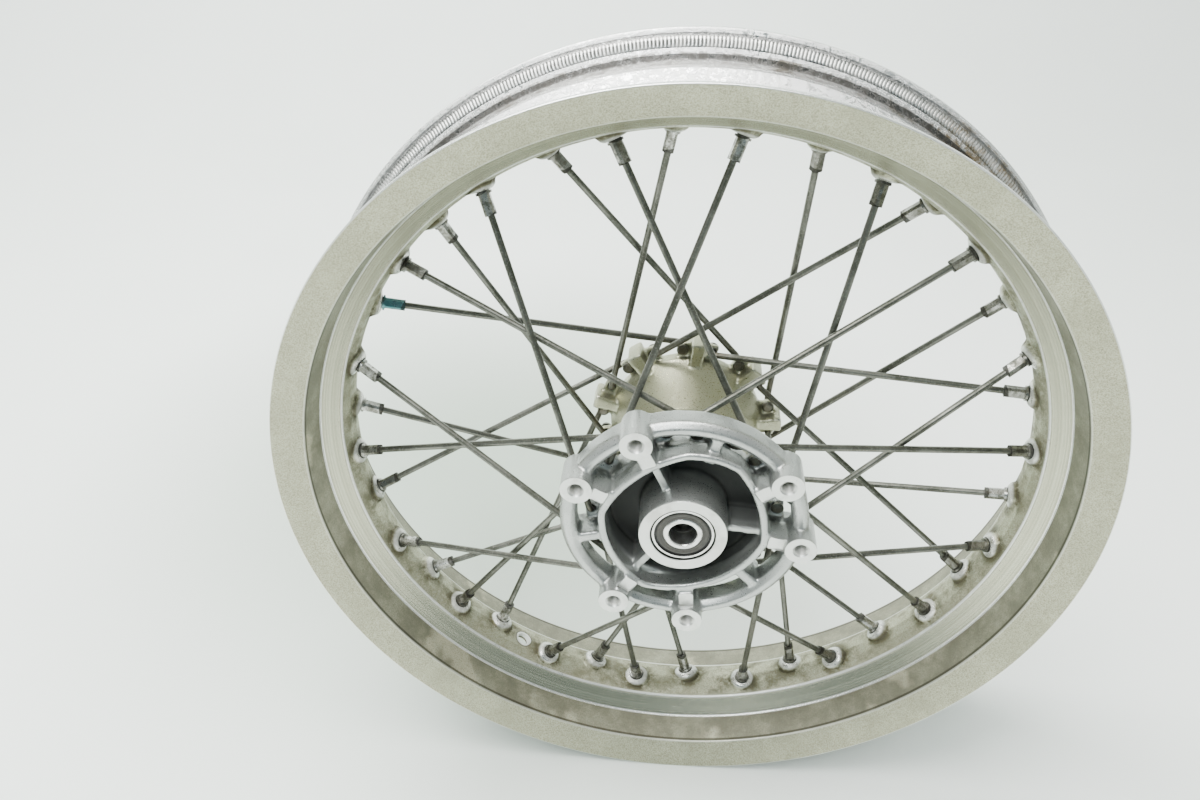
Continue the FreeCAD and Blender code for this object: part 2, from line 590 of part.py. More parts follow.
def make_bearing(side, face):
    """One sealed ball bearing, whose disc-side face is at a width given as a term."""
    back = face + " + bearing_width"
    middle = size(face) + size("bearing_width") / 2
    outer, _ = ring_body(side + "_bearing_outer_race", "outer_race_radius", "bearing_outer_radius",
                         face, back)
    for name, start, end in (("Front", face, face + " + seal_recess_depth"),
                             ("Back", back + " - seal_recess_depth", back)):
        step = new_sketch(outer, side + name + "Recess")
        outline(step, [(None, start), ("seal_recess_radius", start), ("seal_recess_radius", end),
                       (None, end)])
        revolve(outer, step, side + name + "RecessCut", "PartDesign::Groove")
    add_groove(outer, side + "OuterTrack", "groove_radius", middle)
    inner, _ = ring_body(side + "_bearing_inner_race", "bearing_bore_radius", "inner_race_radius",
                         face, back)
    add_groove(inner, side + "InnerTrack", "groove_radius", middle)

    balls = new_body(side + "_bearing_balls")
    ball = balls.newObject("PartDesign::AdditiveSphere", side + "Ball")
    bind(ball, Radius="ball_radius")
    ball.Placement = Placement(polar(size("ball_circle_radius"), 0.0, middle), Rotation())
    pattern(balls, ball, int(size("ball_count")))

    half = "cage_half_width"
    centre = face + " + half_bearing"
    cage, _ = ring_body(side + "_bearing_cage", "cage_inner_radius", "cage_outer_radius",
                        centre + " - " + half, centre + " + " + half)
    hole = cage.newObject("PartDesign::SubtractiveCylinder", side + "CagePocket")
    bind(hole, Radius="cage_pocket_radius", Height="cage_pocket_depth")
    hole.Placement = axis_frame(polar(size("race_shoulder_radius"), 0.0, middle), Vector(-1, 0, 0))
    pattern(cage, hole, int(size("ball_count")))

    seals = new_body(side + "_bearing_seals")
    front = face + " + seal_set_back"
    rear = back + " - seal_set_back"
    for name, start, end in (("Front", front, front + " + seal_thickness"),
                             ("Back", rear + " - seal_thickness", rear)):
        disc = new_sketch(seals, side + name + "Seal")
        outline(disc, [("seal_inner_radius", start), ("seal_outer_radius", start),
                       ("seal_outer_radius", end), ("seal_inner_radius", end)])
        revolve(seals, disc, side + name + "SealRing")


def check_and_write():
    """Stop on any failed object or bad shape, then write every node."""
    document.recompute()
    for item in document.Objects:
        if "Invalid" in item.State or "Error" in item.State:
            raise RuntimeError(f"{item.Label}: {item.State}")
    for body in nodes:
        shape = body.Shape
        if shape.isNull() or not shape.isValid() or not shape.Solids:
            raise RuntimeError(f"{body.Label}: bad shape")
    os.makedirs("parts", exist_ok=True)
    for body in nodes:
        body.Shape.exportStep(f"parts/{body.Label}.step")
        box = body.Shape.BoundBox
        print(f"{body.Label}: {len(body.Shape.Solids)} solid(s), {body.Shape.Volume:.1f} mm3, "
              f"y {box.YMin:.1f}..{box.YMax:.1f}")


fill_sheet()
make_rim()
make_hub()
for family_name, family_sizes in FAMILIES.items():
    make_nipples(family_name, family_sizes)
    for spoke_number in range(LACING_COUNT):
        make_spoke(family_name, family_sizes, spoke_number)
make_bearing("near", "bearing_near_face")
make_bearing("far", "bearing_far_face - bearing_width")
ring_body("spacer_tube", "bearing_bore_radius", "spacer_outer_radius",
          "bearing_near_face + bearing_width", "bearing_far_face - bearing_width")
check_and_write()
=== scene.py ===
"""Looks of the spoked motorcycle wheel: a weathered alloy rim, a cast and machined hub, steel spokes,
plated nipples and two sealed bearings, on a pale studio floor.

Sizes are metres in the wheel's own frame: origin at its centre, axle along Y, disc side -Y, +Z up.
Sections are written in millimetres, as (radius, width) pairs, and scaled by MM.
"""

import math

import bmesh
import bpy
import numpy as np
from mathutils import Matrix, Vector


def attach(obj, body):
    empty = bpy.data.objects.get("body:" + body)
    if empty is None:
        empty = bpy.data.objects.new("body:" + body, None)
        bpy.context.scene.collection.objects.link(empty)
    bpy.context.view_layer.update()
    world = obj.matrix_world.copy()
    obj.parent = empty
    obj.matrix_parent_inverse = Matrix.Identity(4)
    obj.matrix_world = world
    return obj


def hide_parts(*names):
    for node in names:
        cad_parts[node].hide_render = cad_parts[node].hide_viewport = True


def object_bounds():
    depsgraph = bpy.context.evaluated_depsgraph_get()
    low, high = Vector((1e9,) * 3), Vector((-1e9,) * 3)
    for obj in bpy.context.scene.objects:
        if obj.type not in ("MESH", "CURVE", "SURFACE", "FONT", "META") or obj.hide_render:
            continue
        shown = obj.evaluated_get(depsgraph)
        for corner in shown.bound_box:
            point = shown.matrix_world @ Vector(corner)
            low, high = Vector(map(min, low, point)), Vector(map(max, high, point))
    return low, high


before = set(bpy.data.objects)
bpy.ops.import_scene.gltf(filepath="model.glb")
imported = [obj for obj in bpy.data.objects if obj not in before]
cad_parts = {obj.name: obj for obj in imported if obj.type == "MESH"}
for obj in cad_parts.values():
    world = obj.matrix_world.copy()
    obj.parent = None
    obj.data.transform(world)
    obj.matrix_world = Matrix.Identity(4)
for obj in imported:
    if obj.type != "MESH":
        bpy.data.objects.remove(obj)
cad_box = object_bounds()

MM = 0.001
SIDES = ("near", "far")
SMOOTH_ANGLE = math.radians(35)
TURNED_SMOOTH_ANGLE = math.radians(30)
RIM_SMOOTH_ANGLE = math.radians(32)
HUB_SMOOTH_ANGLE = math.radians(40)

# Lacing, in millimetres and degrees: the first spoke's elbow on the hub and its nipple on the rim.
SPOKES_PER_FAMILY = 9
ELBOW_RADIUS = 51.0
SEAT_RADIUS = 205.5
FAMILIES = {
    "near_outer": {"elbow_angle": 24.5, "elbow_width": -56.0, "nipple_angle": 323.5, "row_width": -0.8},
    "near_inner": {"elbow_angle": 44.5, "elbow_width": -45.0, "nipple_angle": 103.5, "row_width": -0.8},
    "far_inner": {"elbow_angle": 34.5, "elbow_width": 29.3, "nipple_angle": 333.5, "row_width": 2.8},
    "far_outer": {"elbow_angle": 14.5, "elbow_width": 40.0, "nipple_angle": 73.5, "row_width": 2.8},
}

# The rim's section, in millimetres: (radius, half width, fillet radius). The outside runs from the lip to
# the bed, and the channel from the lip's inner edge to the well's floor.
RIM_OUTSIDE = [(232.3, 48.2, 1.5), (214.8, 40.7, 1.1), (211.6, 22.3, 1.6), (201.5, 13.8, 1.4),
               (198.6, 7.5, 3.0)]
BED_CENTRE = (197.6, 0.0, 4.0)
RIM_CHANNEL = [(232.3, 44.8, 1.2), (229.5, 43.4, 1.4), (221.5, 38.1, 1.5), (218.3, 36.4, 1.6),
               (217.4, 26.0, 0.8), (218.2, 24.4, 0.8), (214.6, 21.0, 1.4), (204.6, 10.8, 2.0)]
WELL_CENTRE = (202.0, 0.0, 4.0)
RIM_STEPS = 1080
FILLET_STEPS = 4
FINE_SPACING = 0.85
FINE_BELOW_RADIUS = 205.0
# The middle of the rim's wall, which parts the outside from the channel.
BED_MIDDLE_RADIUS = 200.3
BED_MIDDLE_SLOPE = 0.28
MIDDLE_WIDTHS = [0.0, 10.8, 21.0, 24.4, 26.0, 36.4, 38.1, 43.4, 44.8, 44.9, 49.0]
MIDDLE_RADII = [201.0, 203.4, 213.2, 216.6, 216.6, 217.0, 219.5, 228.0, 230.5, 240.0, 240.0]

# Each nipple's dimple outside and pocket inside, in millimetres from its seat and from its own line.
DIMPLE_SEARCH = 20.0
DIMPLE_REACH = 11.2
DIMPLE_TOP_RADIUS = 3.4
DIMPLE_FOOT_RADIUS = 8.2
POCKET_REACH = 4.2
POCKET_FLOOR_RADIUS = 5.5
POCKET_EDGE_RADIUS = 7.4
NIPPLE_HOLE_RADIUS = 3.75
NIPPLE_HOLE_SPAN = (-4.0, 16.0)
SURROUND_SEARCH = 18.0
NIPPLE_GRIME_RADII = (3.9, 5.4)
SURROUND_RADII = (8.5, 15.0)

# The valve hole, in degrees and millimetres.
VALVE_ANGLE = 238.5
VALVE_HOLE_RADIUS = 4.25
VALVE_LIP_PLACE = 197.6
VALVE_DRILL_START = 212.0
VALVE_DRILL_DEPTH = 20.0

# The knurl, in millimetres: its band of radii, the flange's inner face and one ridge's samples.
KNURL_RIDGES = 720
KNURL_BAND = (223.6, 228.6)
KNURL_FLANGE = ((221.5, 38.1), (229.5, 43.4))
KNURL_HEIGHT = 0.45
KNURL_RIDGE = (0.0, 0.7, 1.0, 0.7)
KNURL_ROWS = 7

# Hub, in millimetres and degrees.
HUB_ANGLE = 14.5
BOSS_ANGLES = [HUB_ANGLE + side + turn for side in (-20.0, 20.0) for turn in (0.0, 120.0, 240.0)]
BOSS_CIRCLE_RADIUS = 63.2
BOSS_RADIUS = 8.6
MACHINED_FACE = -76.0
STEP_FACE = -72.5
STEP_START = 45.0
STEP_HALF_WIDTH = 4.0
FAR_FACE = 50.0
FACE_SNAP = 0.02
HUB_VOXEL = 0.9
HUB_SMOOTHING = 7
CASTING_ALLOWANCE = 1.3
BEARING_BORE = 17.5
BEARING_DEPTH = 12.0
BEARING_SEAT = [(BEARING_BORE + 0.5, -0.1), (BEARING_BORE, 0.4), (BEARING_BORE, BEARING_DEPTH)]
DRILL_STEPS = 48
THREAD_CORE = 3.35
THREAD_ROOT = 3.95
THREAD_PITCH = 1.25
THREAD_DEPTH = 18.0
THREAD_MOUTH = 4.5
THREAD_MOUTH_DEPTH = 0.9
PLUG_RADIUS = 5.6
PLUG_DEPTH = 20.5
SLAB_REACH = 90.0
SLAB_DEPTH = 12.0
SLAB_CUTS = 61
# What counts as machined: how near a face's plane, how square to the axle and which radii of the bore.
FACE_TOLERANCE = 0.03
FACING_AXLE = 0.995
BORE_SPAN = (BEARING_BORE - 0.72, BEARING_BORE + 0.71)

# Bearings, in millimetres: each one's outer face and which way its depth runs, and (radius, depth) sections
# from that face to the ball track, which the other half mirrors.
BEARINGS = {"near": (-75.0, 1.0), "far": (49.0, -1.0)}
BEARING_WIDTH = 11.0
BALL_CIRCLE = 12.5
TRACK_RADIUS = 3.05
TRACK_LEAN = 0.84
TRACK_STEPS = 4
RING_STEPS = 180
OUTER_RACE_EDGE = [(17.5, 0.9), (17.2, 0.4), (16.6, 0.0), (15.45, 0.0), (15.45, 1.6), (14.5, 1.6)]
INNER_RACE_EDGE = [(7.5, 0.55), (7.95, 0.0), (9.9, 0.0), (10.4, 0.4)]
SEAL_LIPS = [(10.46, 1.5), (10.46, 0.7), (10.7, 0.4), (11.5, 0.4), (11.7, 0.55), (12.5, 0.55), (12.7, 0.45),
             (13.6, 0.45), (14.0, 0.6), (14.2, 1.1), (15.0, 1.1), (15.2, 0.5), (15.42, 0.5), (15.42, 1.5)]

# Where wear, dirt, painted highlights and painted shade begin and end, in metres.
UNDER_SEAT_RADII = (0.2090, 0.2146)
UNDER_SEAT_WIDTHS = (0.0205, 0.0235)
BED_WIDTHS = (0.0150, 0.0110)
WALL_RADII = (0.2030, 0.2105)
WALL_WIDTHS = (0.0145, 0.0225)
OUTSIDE_LIP_RADII = (0.2313, 0.2320)
CHANNEL_LIP_RADII = (0.2306, 0.2314)
EDGE_REACH = (0.0005, 0.0011)
CREASE = (0.21460, 0.0392)
VALVE_SHINE = (0.0054, 0.0058)
VALVE_OUTLINE = (0.0060, 0.0066)
BEAD_SEAT_WIDTHS = (0.0292, 0.0312)
BEAD_SEAT_RADII = (0.2222, 0.2216)
HEEL_RADII = (0.2184, 0.2208)
HEEL_WIDTHS = (0.0350, 0.0365)
SHOULDER_RADII = (0.2289, 0.2299)
RUST_ANGLE = 49.0
RUST_REACH = (0.012, 0.045)
BOWL_WIDTHS = (-0.046, -0.036)
CAVITY_WALL_WIDTHS = (-0.0660, -0.0570)
CAVITY_WALL_RADII = (0.0262, 0.0418)
CAVITY_DEPTHS = (-0.0560, -0.0465)
CAVITY_RADII = (0.0422, 0.0416)
CAVITY_FLOOR = (-0.0430, -0.0450)
BORE_RADII = (0.01762, 0.01752)
ELBOW_RADII = (0.066, 0.052)
CLEAN_NIPPLE_RADII = (0.1845, 0.1946)
BEARING_SEAM_RADII = (0.01655, 0.01665)
SEAL_GROOVE_RADII = (0.01405, 0.01425)
TINTED_NIPPLE = ("far_outer", 2)
TINT_PLACE = 18.0
TINT_REACH = (0.007, 0.009)

# The camera, solved from the photograph, in metres, millimetres and radians.
CAMERA_PLACE = (-0.010274, -0.489011, 0.365548)
CAMERA_LENS = 30.746
CAMERA_SENSOR = 36.0
CAMERA_PITCH = 0.595097
CAMERA_YAW = -0.081937

# The studio, in metres.
FLOOR_FRONT = -2.5
FLOOR_BACK = 1.1
BACKDROP_BEND = 0.55
BACKDROP_HEIGHT = 2.4
BACKDROP_STEPS = 16
FLOOR_HALF_WIDTH = 3.0
# A painted shadow on the floor just behind the wheel: its middle and its reach.
SHADED_PLACE = (-0.16, 0.26, -0.2323)
SHADED_REACH = (0.05, 0.50)
ROOM_FRONT = (-0.35, -0.80)
ROOM_STRENGTH = 0.80


# ---------------------------------------------------------------- node materials

class Shade:
    """One node material: each method adds a node and returns its output socket."""

    def __init__(self, name):
        self.material = bpy.data.materials.new(name)
        self.material.use_nodes = True
        self.tree = self.material.node_tree
        self.surface = self.tree.nodes["Principled BSDF"]
        self.place = self.tree.nodes.new("ShaderNodeTexCoord").outputs["Object"]
        parts = self.node("ShaderNodeSeparateXYZ", Vector=self.place).outputs
        self.x, self.y, self.z = parts["X"], parts["Y"], parts["Z"]
        self.radius = self.math("SQRT", self.math("ADD", self.square(self.x), self.square(self.z)))
        self.width = self.math("ABSOLUTE", self.y)

    def node(self, kind, **inputs):
        """Add a node and set or link its inputs by name."""
        made = self.tree.nodes.new(kind)
        for name, value in inputs.items():
            self.connect(made.inputs[name], value)
        return made

    def connect(self, target, value):
        """Set an input to a number, or link it to a socket."""
        if isinstance(value, bpy.types.NodeSocket):
            self.tree.links.new(value, target)
        else:
            target.default_value = value

    def math(self, operation, first, second=0.0):
        """A math node on two values."""
        made = self.tree.nodes.new("ShaderNodeMath")
        made.operation = operation
        self.connect(made.inputs[0], first)
        self.connect(made.inputs[1], second)
        return made.outputs[0]

    def square(self, value):
        """A value times itself."""
        return self.math("MULTIPLY", value, value)

    def rise(self, value, low, high):
        """0 below low, 1 above high and a smooth step between."""
        made = self.node("ShaderNodeMapRange", Value=value)
        made.interpolation_type = "SMOOTHSTEP"
        made.inputs["From Min"].default_value = low
        made.inputs["From Max"].default_value = high
        return made.outputs["Result"]

    def band(self, value, low, high, soft):
        """1 between low and high, falling to 0 over a soft distance outside."""
        return self.math("MULTIPLY", self.rise(value, low - soft, low),
                         self.math("SUBTRACT", 1.0, self.rise(value, high, high + soft)))

    def corner(self, radius, width, inner, outer):
        """1 along a corner of the section, given in metres, and 0 beyond a distance from it."""
        radial = self.math("SUBTRACT", self.radius, radius)
        axial = self.math("SUBTRACT", self.width, width)
        distance = self.math("SQRT", self.math("ADD", self.square(radial), self.square(axial)))
        return self.math("SUBTRACT", 1.0, self.rise(distance, inner, outer))

    def near(self, point, inner, outer):
        """1 within the inner distance of a point and 0 beyond the outer one."""
        made = self.node("ShaderNodeVectorMath")
        made.operation = "DISTANCE"
        self.connect(made.inputs[0], self.place)
        made.inputs[1].default_value = point
        return self.math("SUBTRACT", 1.0, self.rise(made.outputs["Value"], inner, outer))

    def noise(self, scale, detail=3.0, roughness=0.55):
        """Noise with a number of cells per metre."""
        made = self.node("ShaderNodeTexNoise", Vector=self.place, Scale=scale, Detail=detail,
                         Roughness=roughness)
        return made.outputs["Fac"]

    def line_noise(self, value, scale):
        """Noise that varies with one value only, as turning marks do."""
        made = self.node("ShaderNodeTexNoise", Scale=scale, Detail=2.0)
        made.noise_dimensions = "1D"
        self.connect(made.inputs["W"], value)
        return made.outputs["Fac"]

    def spots(self, scale, low, high):
        """Sparse round spots, 1 at their middles."""
        made = self.node("ShaderNodeTexVoronoi", Vector=self.place, Scale=scale)
        return self.math("SUBTRACT", 1.0, self.rise(made.outputs["Distance"], low, high))

    def mix(self, factor, first, second):
        """A colour between two colours."""
        made = self.tree.nodes.new("ShaderNodeMix")
        made.data_type = "RGBA"
        self.connect(made.inputs[0], factor)
        self.connect(made.inputs[6], first)
        self.connect(made.inputs[7], second)
        return made.outputs[2]

    def blend(self, factor, first, second):
        """A number between two numbers."""
        made = self.tree.nodes.new("ShaderNodeMix")
        self.connect(made.inputs[0], factor)
        self.connect(made.inputs[2], first)
        self.connect(made.inputs[3], second)
        return made.outputs[0]

    def product(self, *values):
        """Values multiplied together."""
        total = values[0]
        for value in values[1:]:
            total = self.math("MULTIPLY", total, value)
        return total

    def mesh_value(self, name):
        """A value that the mesh stores at its points."""
        made = self.tree.nodes.new("ShaderNodeAttribute")
        made.attribute_name = name
        return made.outputs["Fac"]

    def pointiness(self):
        """0.5 on flat ground, more on outer edges and less in hollows."""
        return self.tree.nodes.new("ShaderNodeNewGeometry").outputs["Pointiness"]

    def rust(self, radius, width):
        """A patchy stain at one place round the rim, at a radius and a width."""
        patch = self.near(tuple(polar(radius, RUST_ANGLE, width)), *RUST_REACH)
        return self.product(patch, self.rise(self.noise(130.0, 5.0, 0.7), 0.38, 0.58))

    def finish(self, colour, roughness, metallic, height=None, depth=0.0):
        """Set the surface's colour, roughness and metal, and a relief of a depth in metres."""
        self.connect(self.surface.inputs["Base Color"], colour)
        self.connect(self.surface.inputs["Roughness"], roughness)
        self.connect(self.surface.inputs["Metallic"], metallic)
        if height is not None:
            bump = self.node("ShaderNodeBump", Height=height, Distance=depth)
            self.connect(self.surface.inputs["Normal"], bump.outputs["Normal"])
        return self.material


def tone(red, green, blue):
    """A colour socket's value from linear red, green and blue."""
    return (red, green, blue, 1.0)


def rim_outside_material():
    """Weathered satin alloy: speckled, darker under the bead seats, with oily dirt round the nipples, and
    painted highlights and shade at its edges.
    """
    shade = Shade("rim_outside")
    speckle = shade.noise(1400.0, 5.0, 0.75)
    cloud = shade.noise(28.0, 3.0)
    colour = shade.mix(shade.rise(speckle, 0.36, 0.60), tone(0.285, 0.28, 0.192), tone(0.52, 0.518, 0.390))
    colour = shade.mix(shade.product(shade.rise(cloud, 0.45, 0.75), 0.5), colour, tone(0.345, 0.342, 0.242))
    # Darker in patches under the bead seats.
    under_seat = shade.product(shade.band(shade.radius, *UNDER_SEAT_RADII, 0.0004),
                               shade.rise(shade.width, *UNDER_SEAT_WIDTHS))
    smear = shade.noise(60.0, 5.0, 0.7)
    under_seat_darkening = shade.product(under_seat, shade.blend(shade.rise(smear, 0.30, 0.72), 0.5, 0.95))
    colour = shade.mix(under_seat_darkening, colour, tone(0.20, 0.19, 0.145))
    pale = shade.product(under_seat, shade.rise(shade.noise(21.0, 3.0), 0.60, 0.68),
                         shade.rise(speckle, 0.30, 0.55))
    colour = shade.mix(shade.product(pale, 0.75), colour, tone(0.66, 0.62, 0.46))
    bed = shade.rise(shade.width, *BED_WIDTHS)
    soil = shade.rise(shade.noise(85.0, 6.0, 0.72), 0.42, 0.66)
    colour = shade.mix(shade.product(bed, soil, 0.80), colour, tone(0.13, 0.12, 0.062))
    around = shade.product(bed, shade.mesh_value("dimple_surround"), shade.rise(smear, 0.40, 0.58))
    colour = shade.mix(shade.product(around, 0.85), colour, tone(0.065, 0.058, 0.026))
    dimple = shade.mesh_value("dimple")
    polished = shade.rise(dimple, 0.30, 0.75)
    shine = shade.product(polished, shade.blend(shade.rise(soil, 0.2, 0.9), 0.90, 0.55))
    colour = shade.mix(shine, colour, tone(0.68, 0.675, 0.64))
    foot_ring = shade.product(shade.band(dimple, 0.03, 0.22, 0.04), shade.rise(smear, 0.35, 0.55))
    colour = shade.mix(shade.product(foot_ring, 0.85), colour, tone(0.07, 0.06, 0.035))
    grime = shade.product(shade.rise(shade.mesh_value("nipple_edge"), 0.15, 0.65), 0.95)
    colour = shade.mix(grime, colour, tone(0.022, 0.020, 0.015))
    # Round the valve hole: a dark outline, and within it a bright ring that is a painted highlight on the
    # hole's edge, partly polish.
    valve = tuple(polar(VALVE_LIP_PLACE * MM, VALVE_ANGLE))
    valve_outline = shade.product(shade.near(valve, *VALVE_OUTLINE), 0.8)
    colour = shade.mix(valve_outline, colour, tone(0.06, 0.055, 0.035))
    colour = shade.mix(shade.near(valve, *VALVE_SHINE), colour, tone(0.80, 0.80, 0.76))
    wall = shade.product(shade.band(shade.radius, *WALL_RADII, 0.0008),
                         shade.band(shade.width, *WALL_WIDTHS, 0.0006))
    drawn = shade.rise(shade.line_noise(shade.radius, 900.0), 0.35, 0.65)
    colour = shade.mix(shade.product(wall, 0.75), colour,
                       shade.mix(drawn, tone(0.41, 0.412, 0.310), tone(0.56, 0.56, 0.435)))
    # Painted highlights: near-white lines along the section's corners and over the outer lip.
    edge = 0.0
    for (radius, width, _), bright in zip(RIM_OUTSIDE, (0.8, 0.3, 1.0, 0.9)):
        ridge = shade.corner(radius * MM, width * MM, *EDGE_REACH)
        edge = shade.math("MAXIMUM", edge, shade.product(ridge, bright))
    lip_highlight = shade.rise(shade.radius, *OUTSIDE_LIP_RADII)
    edge = shade.math("MAXIMUM", shade.product(edge, 0.85), lip_highlight)
    colour = shade.mix(edge, colour, tone(0.90, 0.90, 0.88))
    # Painted shade: a thin dark line in the crease just inside the flange foot, where that corner falls into
    # shadow.
    crease_shade = shade.corner(*CREASE, *EDGE_REACH)
    colour = shade.mix(shade.product(crease_shade, 0.8), colour, tone(0.06, 0.055, 0.04))
    pits = shade.product(shade.spots(260.0, 0.02, 0.14), shade.rise(shade.noise(40.0), 0.48, 0.58))
    colour = shade.mix(shade.product(pits, 0.75), colour, tone(0.09, 0.08, 0.055))
    dull = shade.math("MAXIMUM", grime, shade.product(bed, soil))
    roughness = shade.blend(shade.rise(speckle, 0.3, 0.7), 0.52, 0.40)
    roughness = shade.blend(shade.math("MAXIMUM", edge, polished), roughness, 0.22)
    roughness = shade.blend(wall, roughness, 0.20)
    roughness = shade.blend(dull, roughness, 0.72)
    metallic = shade.blend(shade.product(dull, 0.85), 0.85, 0.10)
    return shade.finish(colour, roughness, metallic, speckle, 0.00012)


def rim_channel_material():
    """Bright alloy inside the tyre's channel, scuffed and stained where the tyre sat, with a painted
    highlight on the lip.
    """
    shade = Shade("rim_channel")
    turning = shade.line_noise(shade.y, 2600.0)
    scuff = shade.rise(shade.noise(260.0, 6.0, 0.8), 0.40, 0.60)
    stain = shade.rise(shade.noise(48.0, 5.0, 0.7), 0.48, 0.70)
    seat = shade.product(shade.rise(shade.width, *BEAD_SEAT_WIDTHS),
                         shade.rise(shade.radius, *BEAD_SEAT_RADII))
    worn = shade.blend(seat, shade.product(scuff, 0.35), shade.math("MAXIMUM", scuff, 0.30))
    colour = shade.mix(worn, tone(0.86, 0.86, 0.85), tone(0.26, 0.25, 0.235))
    colour = shade.mix(shade.product(stain, seat, 0.85), colour, tone(0.15, 0.13, 0.095))
    rust = shade.rust(0.2240, 0.039)
    colour = shade.mix(shade.product(rust, 0.85), colour, tone(0.20, 0.14, 0.065))
    heel = shade.product(shade.band(shade.radius, *HEEL_RADII, 0.0005), shade.rise(shade.width, *HEEL_WIDTHS))
    shoulder = shade.band(shade.radius, *SHOULDER_RADII, 0.0004)
    line = shade.math("MAXIMUM", heel, shade.product(shoulder, 0.8))
    colour = shade.mix(shade.product(line, 0.9), colour, tone(0.05, 0.047, 0.043))
    # Painted highlight: a near-white line along the lip.
    lip_highlight = shade.rise(shade.radius, *CHANNEL_LIP_RADII)
    colour = shade.mix(lip_highlight, colour, tone(0.92, 0.92, 0.90))
    roughness = shade.blend(worn, 0.16, 0.50)
    roughness = shade.blend(lip_highlight, roughness, 0.16)
    height = shade.math("ADD", shade.product(turning, 0.5), shade.product(scuff, 0.8))
    return shade.finish(colour, roughness, 0.92, height, 0.00014)


def knurl_material():
    """The ridged band that grips the tyre's bead, with painted highlights on its crests and painted shade
    between them.
    """
    shade = Shade("rim_knurl")
    wear = shade.rise(shade.noise(120.0, 4.0), 0.40, 0.68)
    # Painted highlights on the ridges' crests and painted shade between them.
    crest = shade.mesh_value("crest")
    colour = shade.mix(crest, tone(0.07, 0.068, 0.062), tone(0.88, 0.88, 0.86))
    colour = shade.mix(shade.product(wear, 0.35), colour, tone(0.50, 0.49, 0.46))
    rust = shade.rust(0.2260, 0.041)
    colour = shade.mix(shade.product(rust, 0.8), colour, tone(0.22, 0.16, 0.08))
    return shade.finish(colour, shade.blend(wear, 0.24, 0.42), 0.90, shade.noise(1500.0), 0.00005)


def hub_cast_material():
    """Satin cast alloy: cool silver on the disc side, warmer on the bowl, with painted shade down in the
    cavity, and painted shade and grime in hollows.
    """
    shade = Shade("hub_cast")
    grain = shade.noise(1300.0, 4.0, 0.6)
    cloud = shade.noise(45.0, 4.0)
    silver = shade.mix(shade.rise(cloud, 0.35, 0.7), tone(0.42, 0.432, 0.42), tone(0.51, 0.522, 0.505))
    champagne = shade.mix(shade.rise(cloud, 0.35, 0.7), tone(0.375, 0.372, 0.262), tone(0.45, 0.446, 0.325))
    colour = shade.mix(shade.rise(shade.y, *BOWL_WIDTHS), silver, champagne)
    # Painted shade: the cavity's walls and depths darkened nearly to black, where they lie in shadow.
    cavity_wall_shade = shade.product(shade.rise(shade.y, *CAVITY_WALL_WIDTHS),
                          shade.band(shade.radius, *CAVITY_WALL_RADII, 0.0010))
    cavity_depth_shade = shade.product(shade.rise(shade.y, *CAVITY_DEPTHS), shade.rise(shade.radius, *CAVITY_RADII))
    cavity_shade = shade.math("MAXIMUM", shade.product(cavity_wall_shade, 0.80), cavity_depth_shade)
    cavity_shade = shade.product(cavity_shade, shade.rise(shade.y, *CAVITY_FLOOR))
    colour = shade.mix(shade.product(cavity_shade, 0.96), colour, tone(0.030, 0.031, 0.028))
    point = shade.pointiness()
    worn = shade.product(shade.rise(point, 0.52, 0.60), shade.rise(shade.noise(140.0, 4.0), 0.35, 0.60))
    colour = shade.mix(shade.product(worn, 0.7), colour, tone(0.78, 0.78, 0.76))
    # Painted shade, partly grime: darker in hollows, found from the mesh's pointiness.
    hollow = shade.product(shade.rise(point, 0.485, 0.42), shade.rise(shade.noise(90.0, 5.0), 0.35, 0.65))
    colour = shade.mix(shade.product(hollow, 0.75), colour, tone(0.12, 0.115, 0.09))
    pits = shade.product(shade.spots(420.0, 0.02, 0.12), shade.rise(shade.noise(60.0), 0.52, 0.62))
    colour = shade.mix(shade.product(pits, 0.6), colour, tone(0.08, 0.075, 0.06))
    roughness = shade.blend(shade.rise(grain, 0.35, 0.68), 0.27, 0.40)
    dull = shade.math("MAXIMUM", hollow, cavity_shade)
    roughness = shade.blend(dull, roughness, 0.66)
    metallic = shade.blend(dull, 0.86, 0.30)
    height = shade.math("SUBTRACT", grain, shade.product(pits, 1.5))
    return shade.finish(colour, roughness, metallic, height, 0.00010)


def hub_machined_material():
    """Faces cut after casting: bright, with fine turning marks, and painted shade and grime at each bearing's
    bore.
    """
    shade = Shade("hub_machined")
    marks = shade.line_noise(shade.radius, 5200.0)
    smudge = shade.rise(shade.noise(110.0, 5.0), 0.45, 0.72)
    colour = shade.mix(smudge, tone(0.74, 0.745, 0.715), tone(0.58, 0.58, 0.545))
    nicks = shade.product(shade.spots(330.0, 0.02, 0.10), shade.rise(shade.noise(70.0), 0.54, 0.62))
    colour = shade.mix(shade.product(nicks, 0.8), colour, tone(0.16, 0.15, 0.13))
    # Painted shade, partly grime: near black in the bearing's bore.
    bore = shade.rise(shade.radius, *BORE_RADII)
    colour = shade.mix(shade.product(bore, 0.95), colour, tone(0.03, 0.028, 0.024))
    return shade.finish(colour, shade.blend(marks, 0.26, 0.40), 0.85, marks, 0.00006)


def thread_material():
    """Tapped holes: dull, oily metal."""
    shade = Shade("hub_thread")
    oil = shade.rise(shade.noise(260.0, 4.0), 0.35, 0.65)
    colour = shade.mix(oil, tone(0.55, 0.54, 0.50), tone(0.80, 0.79, 0.75))
    return shade.finish(colour, shade.blend(oil, 0.30, 0.50), 0.20, oil, 0.00005)


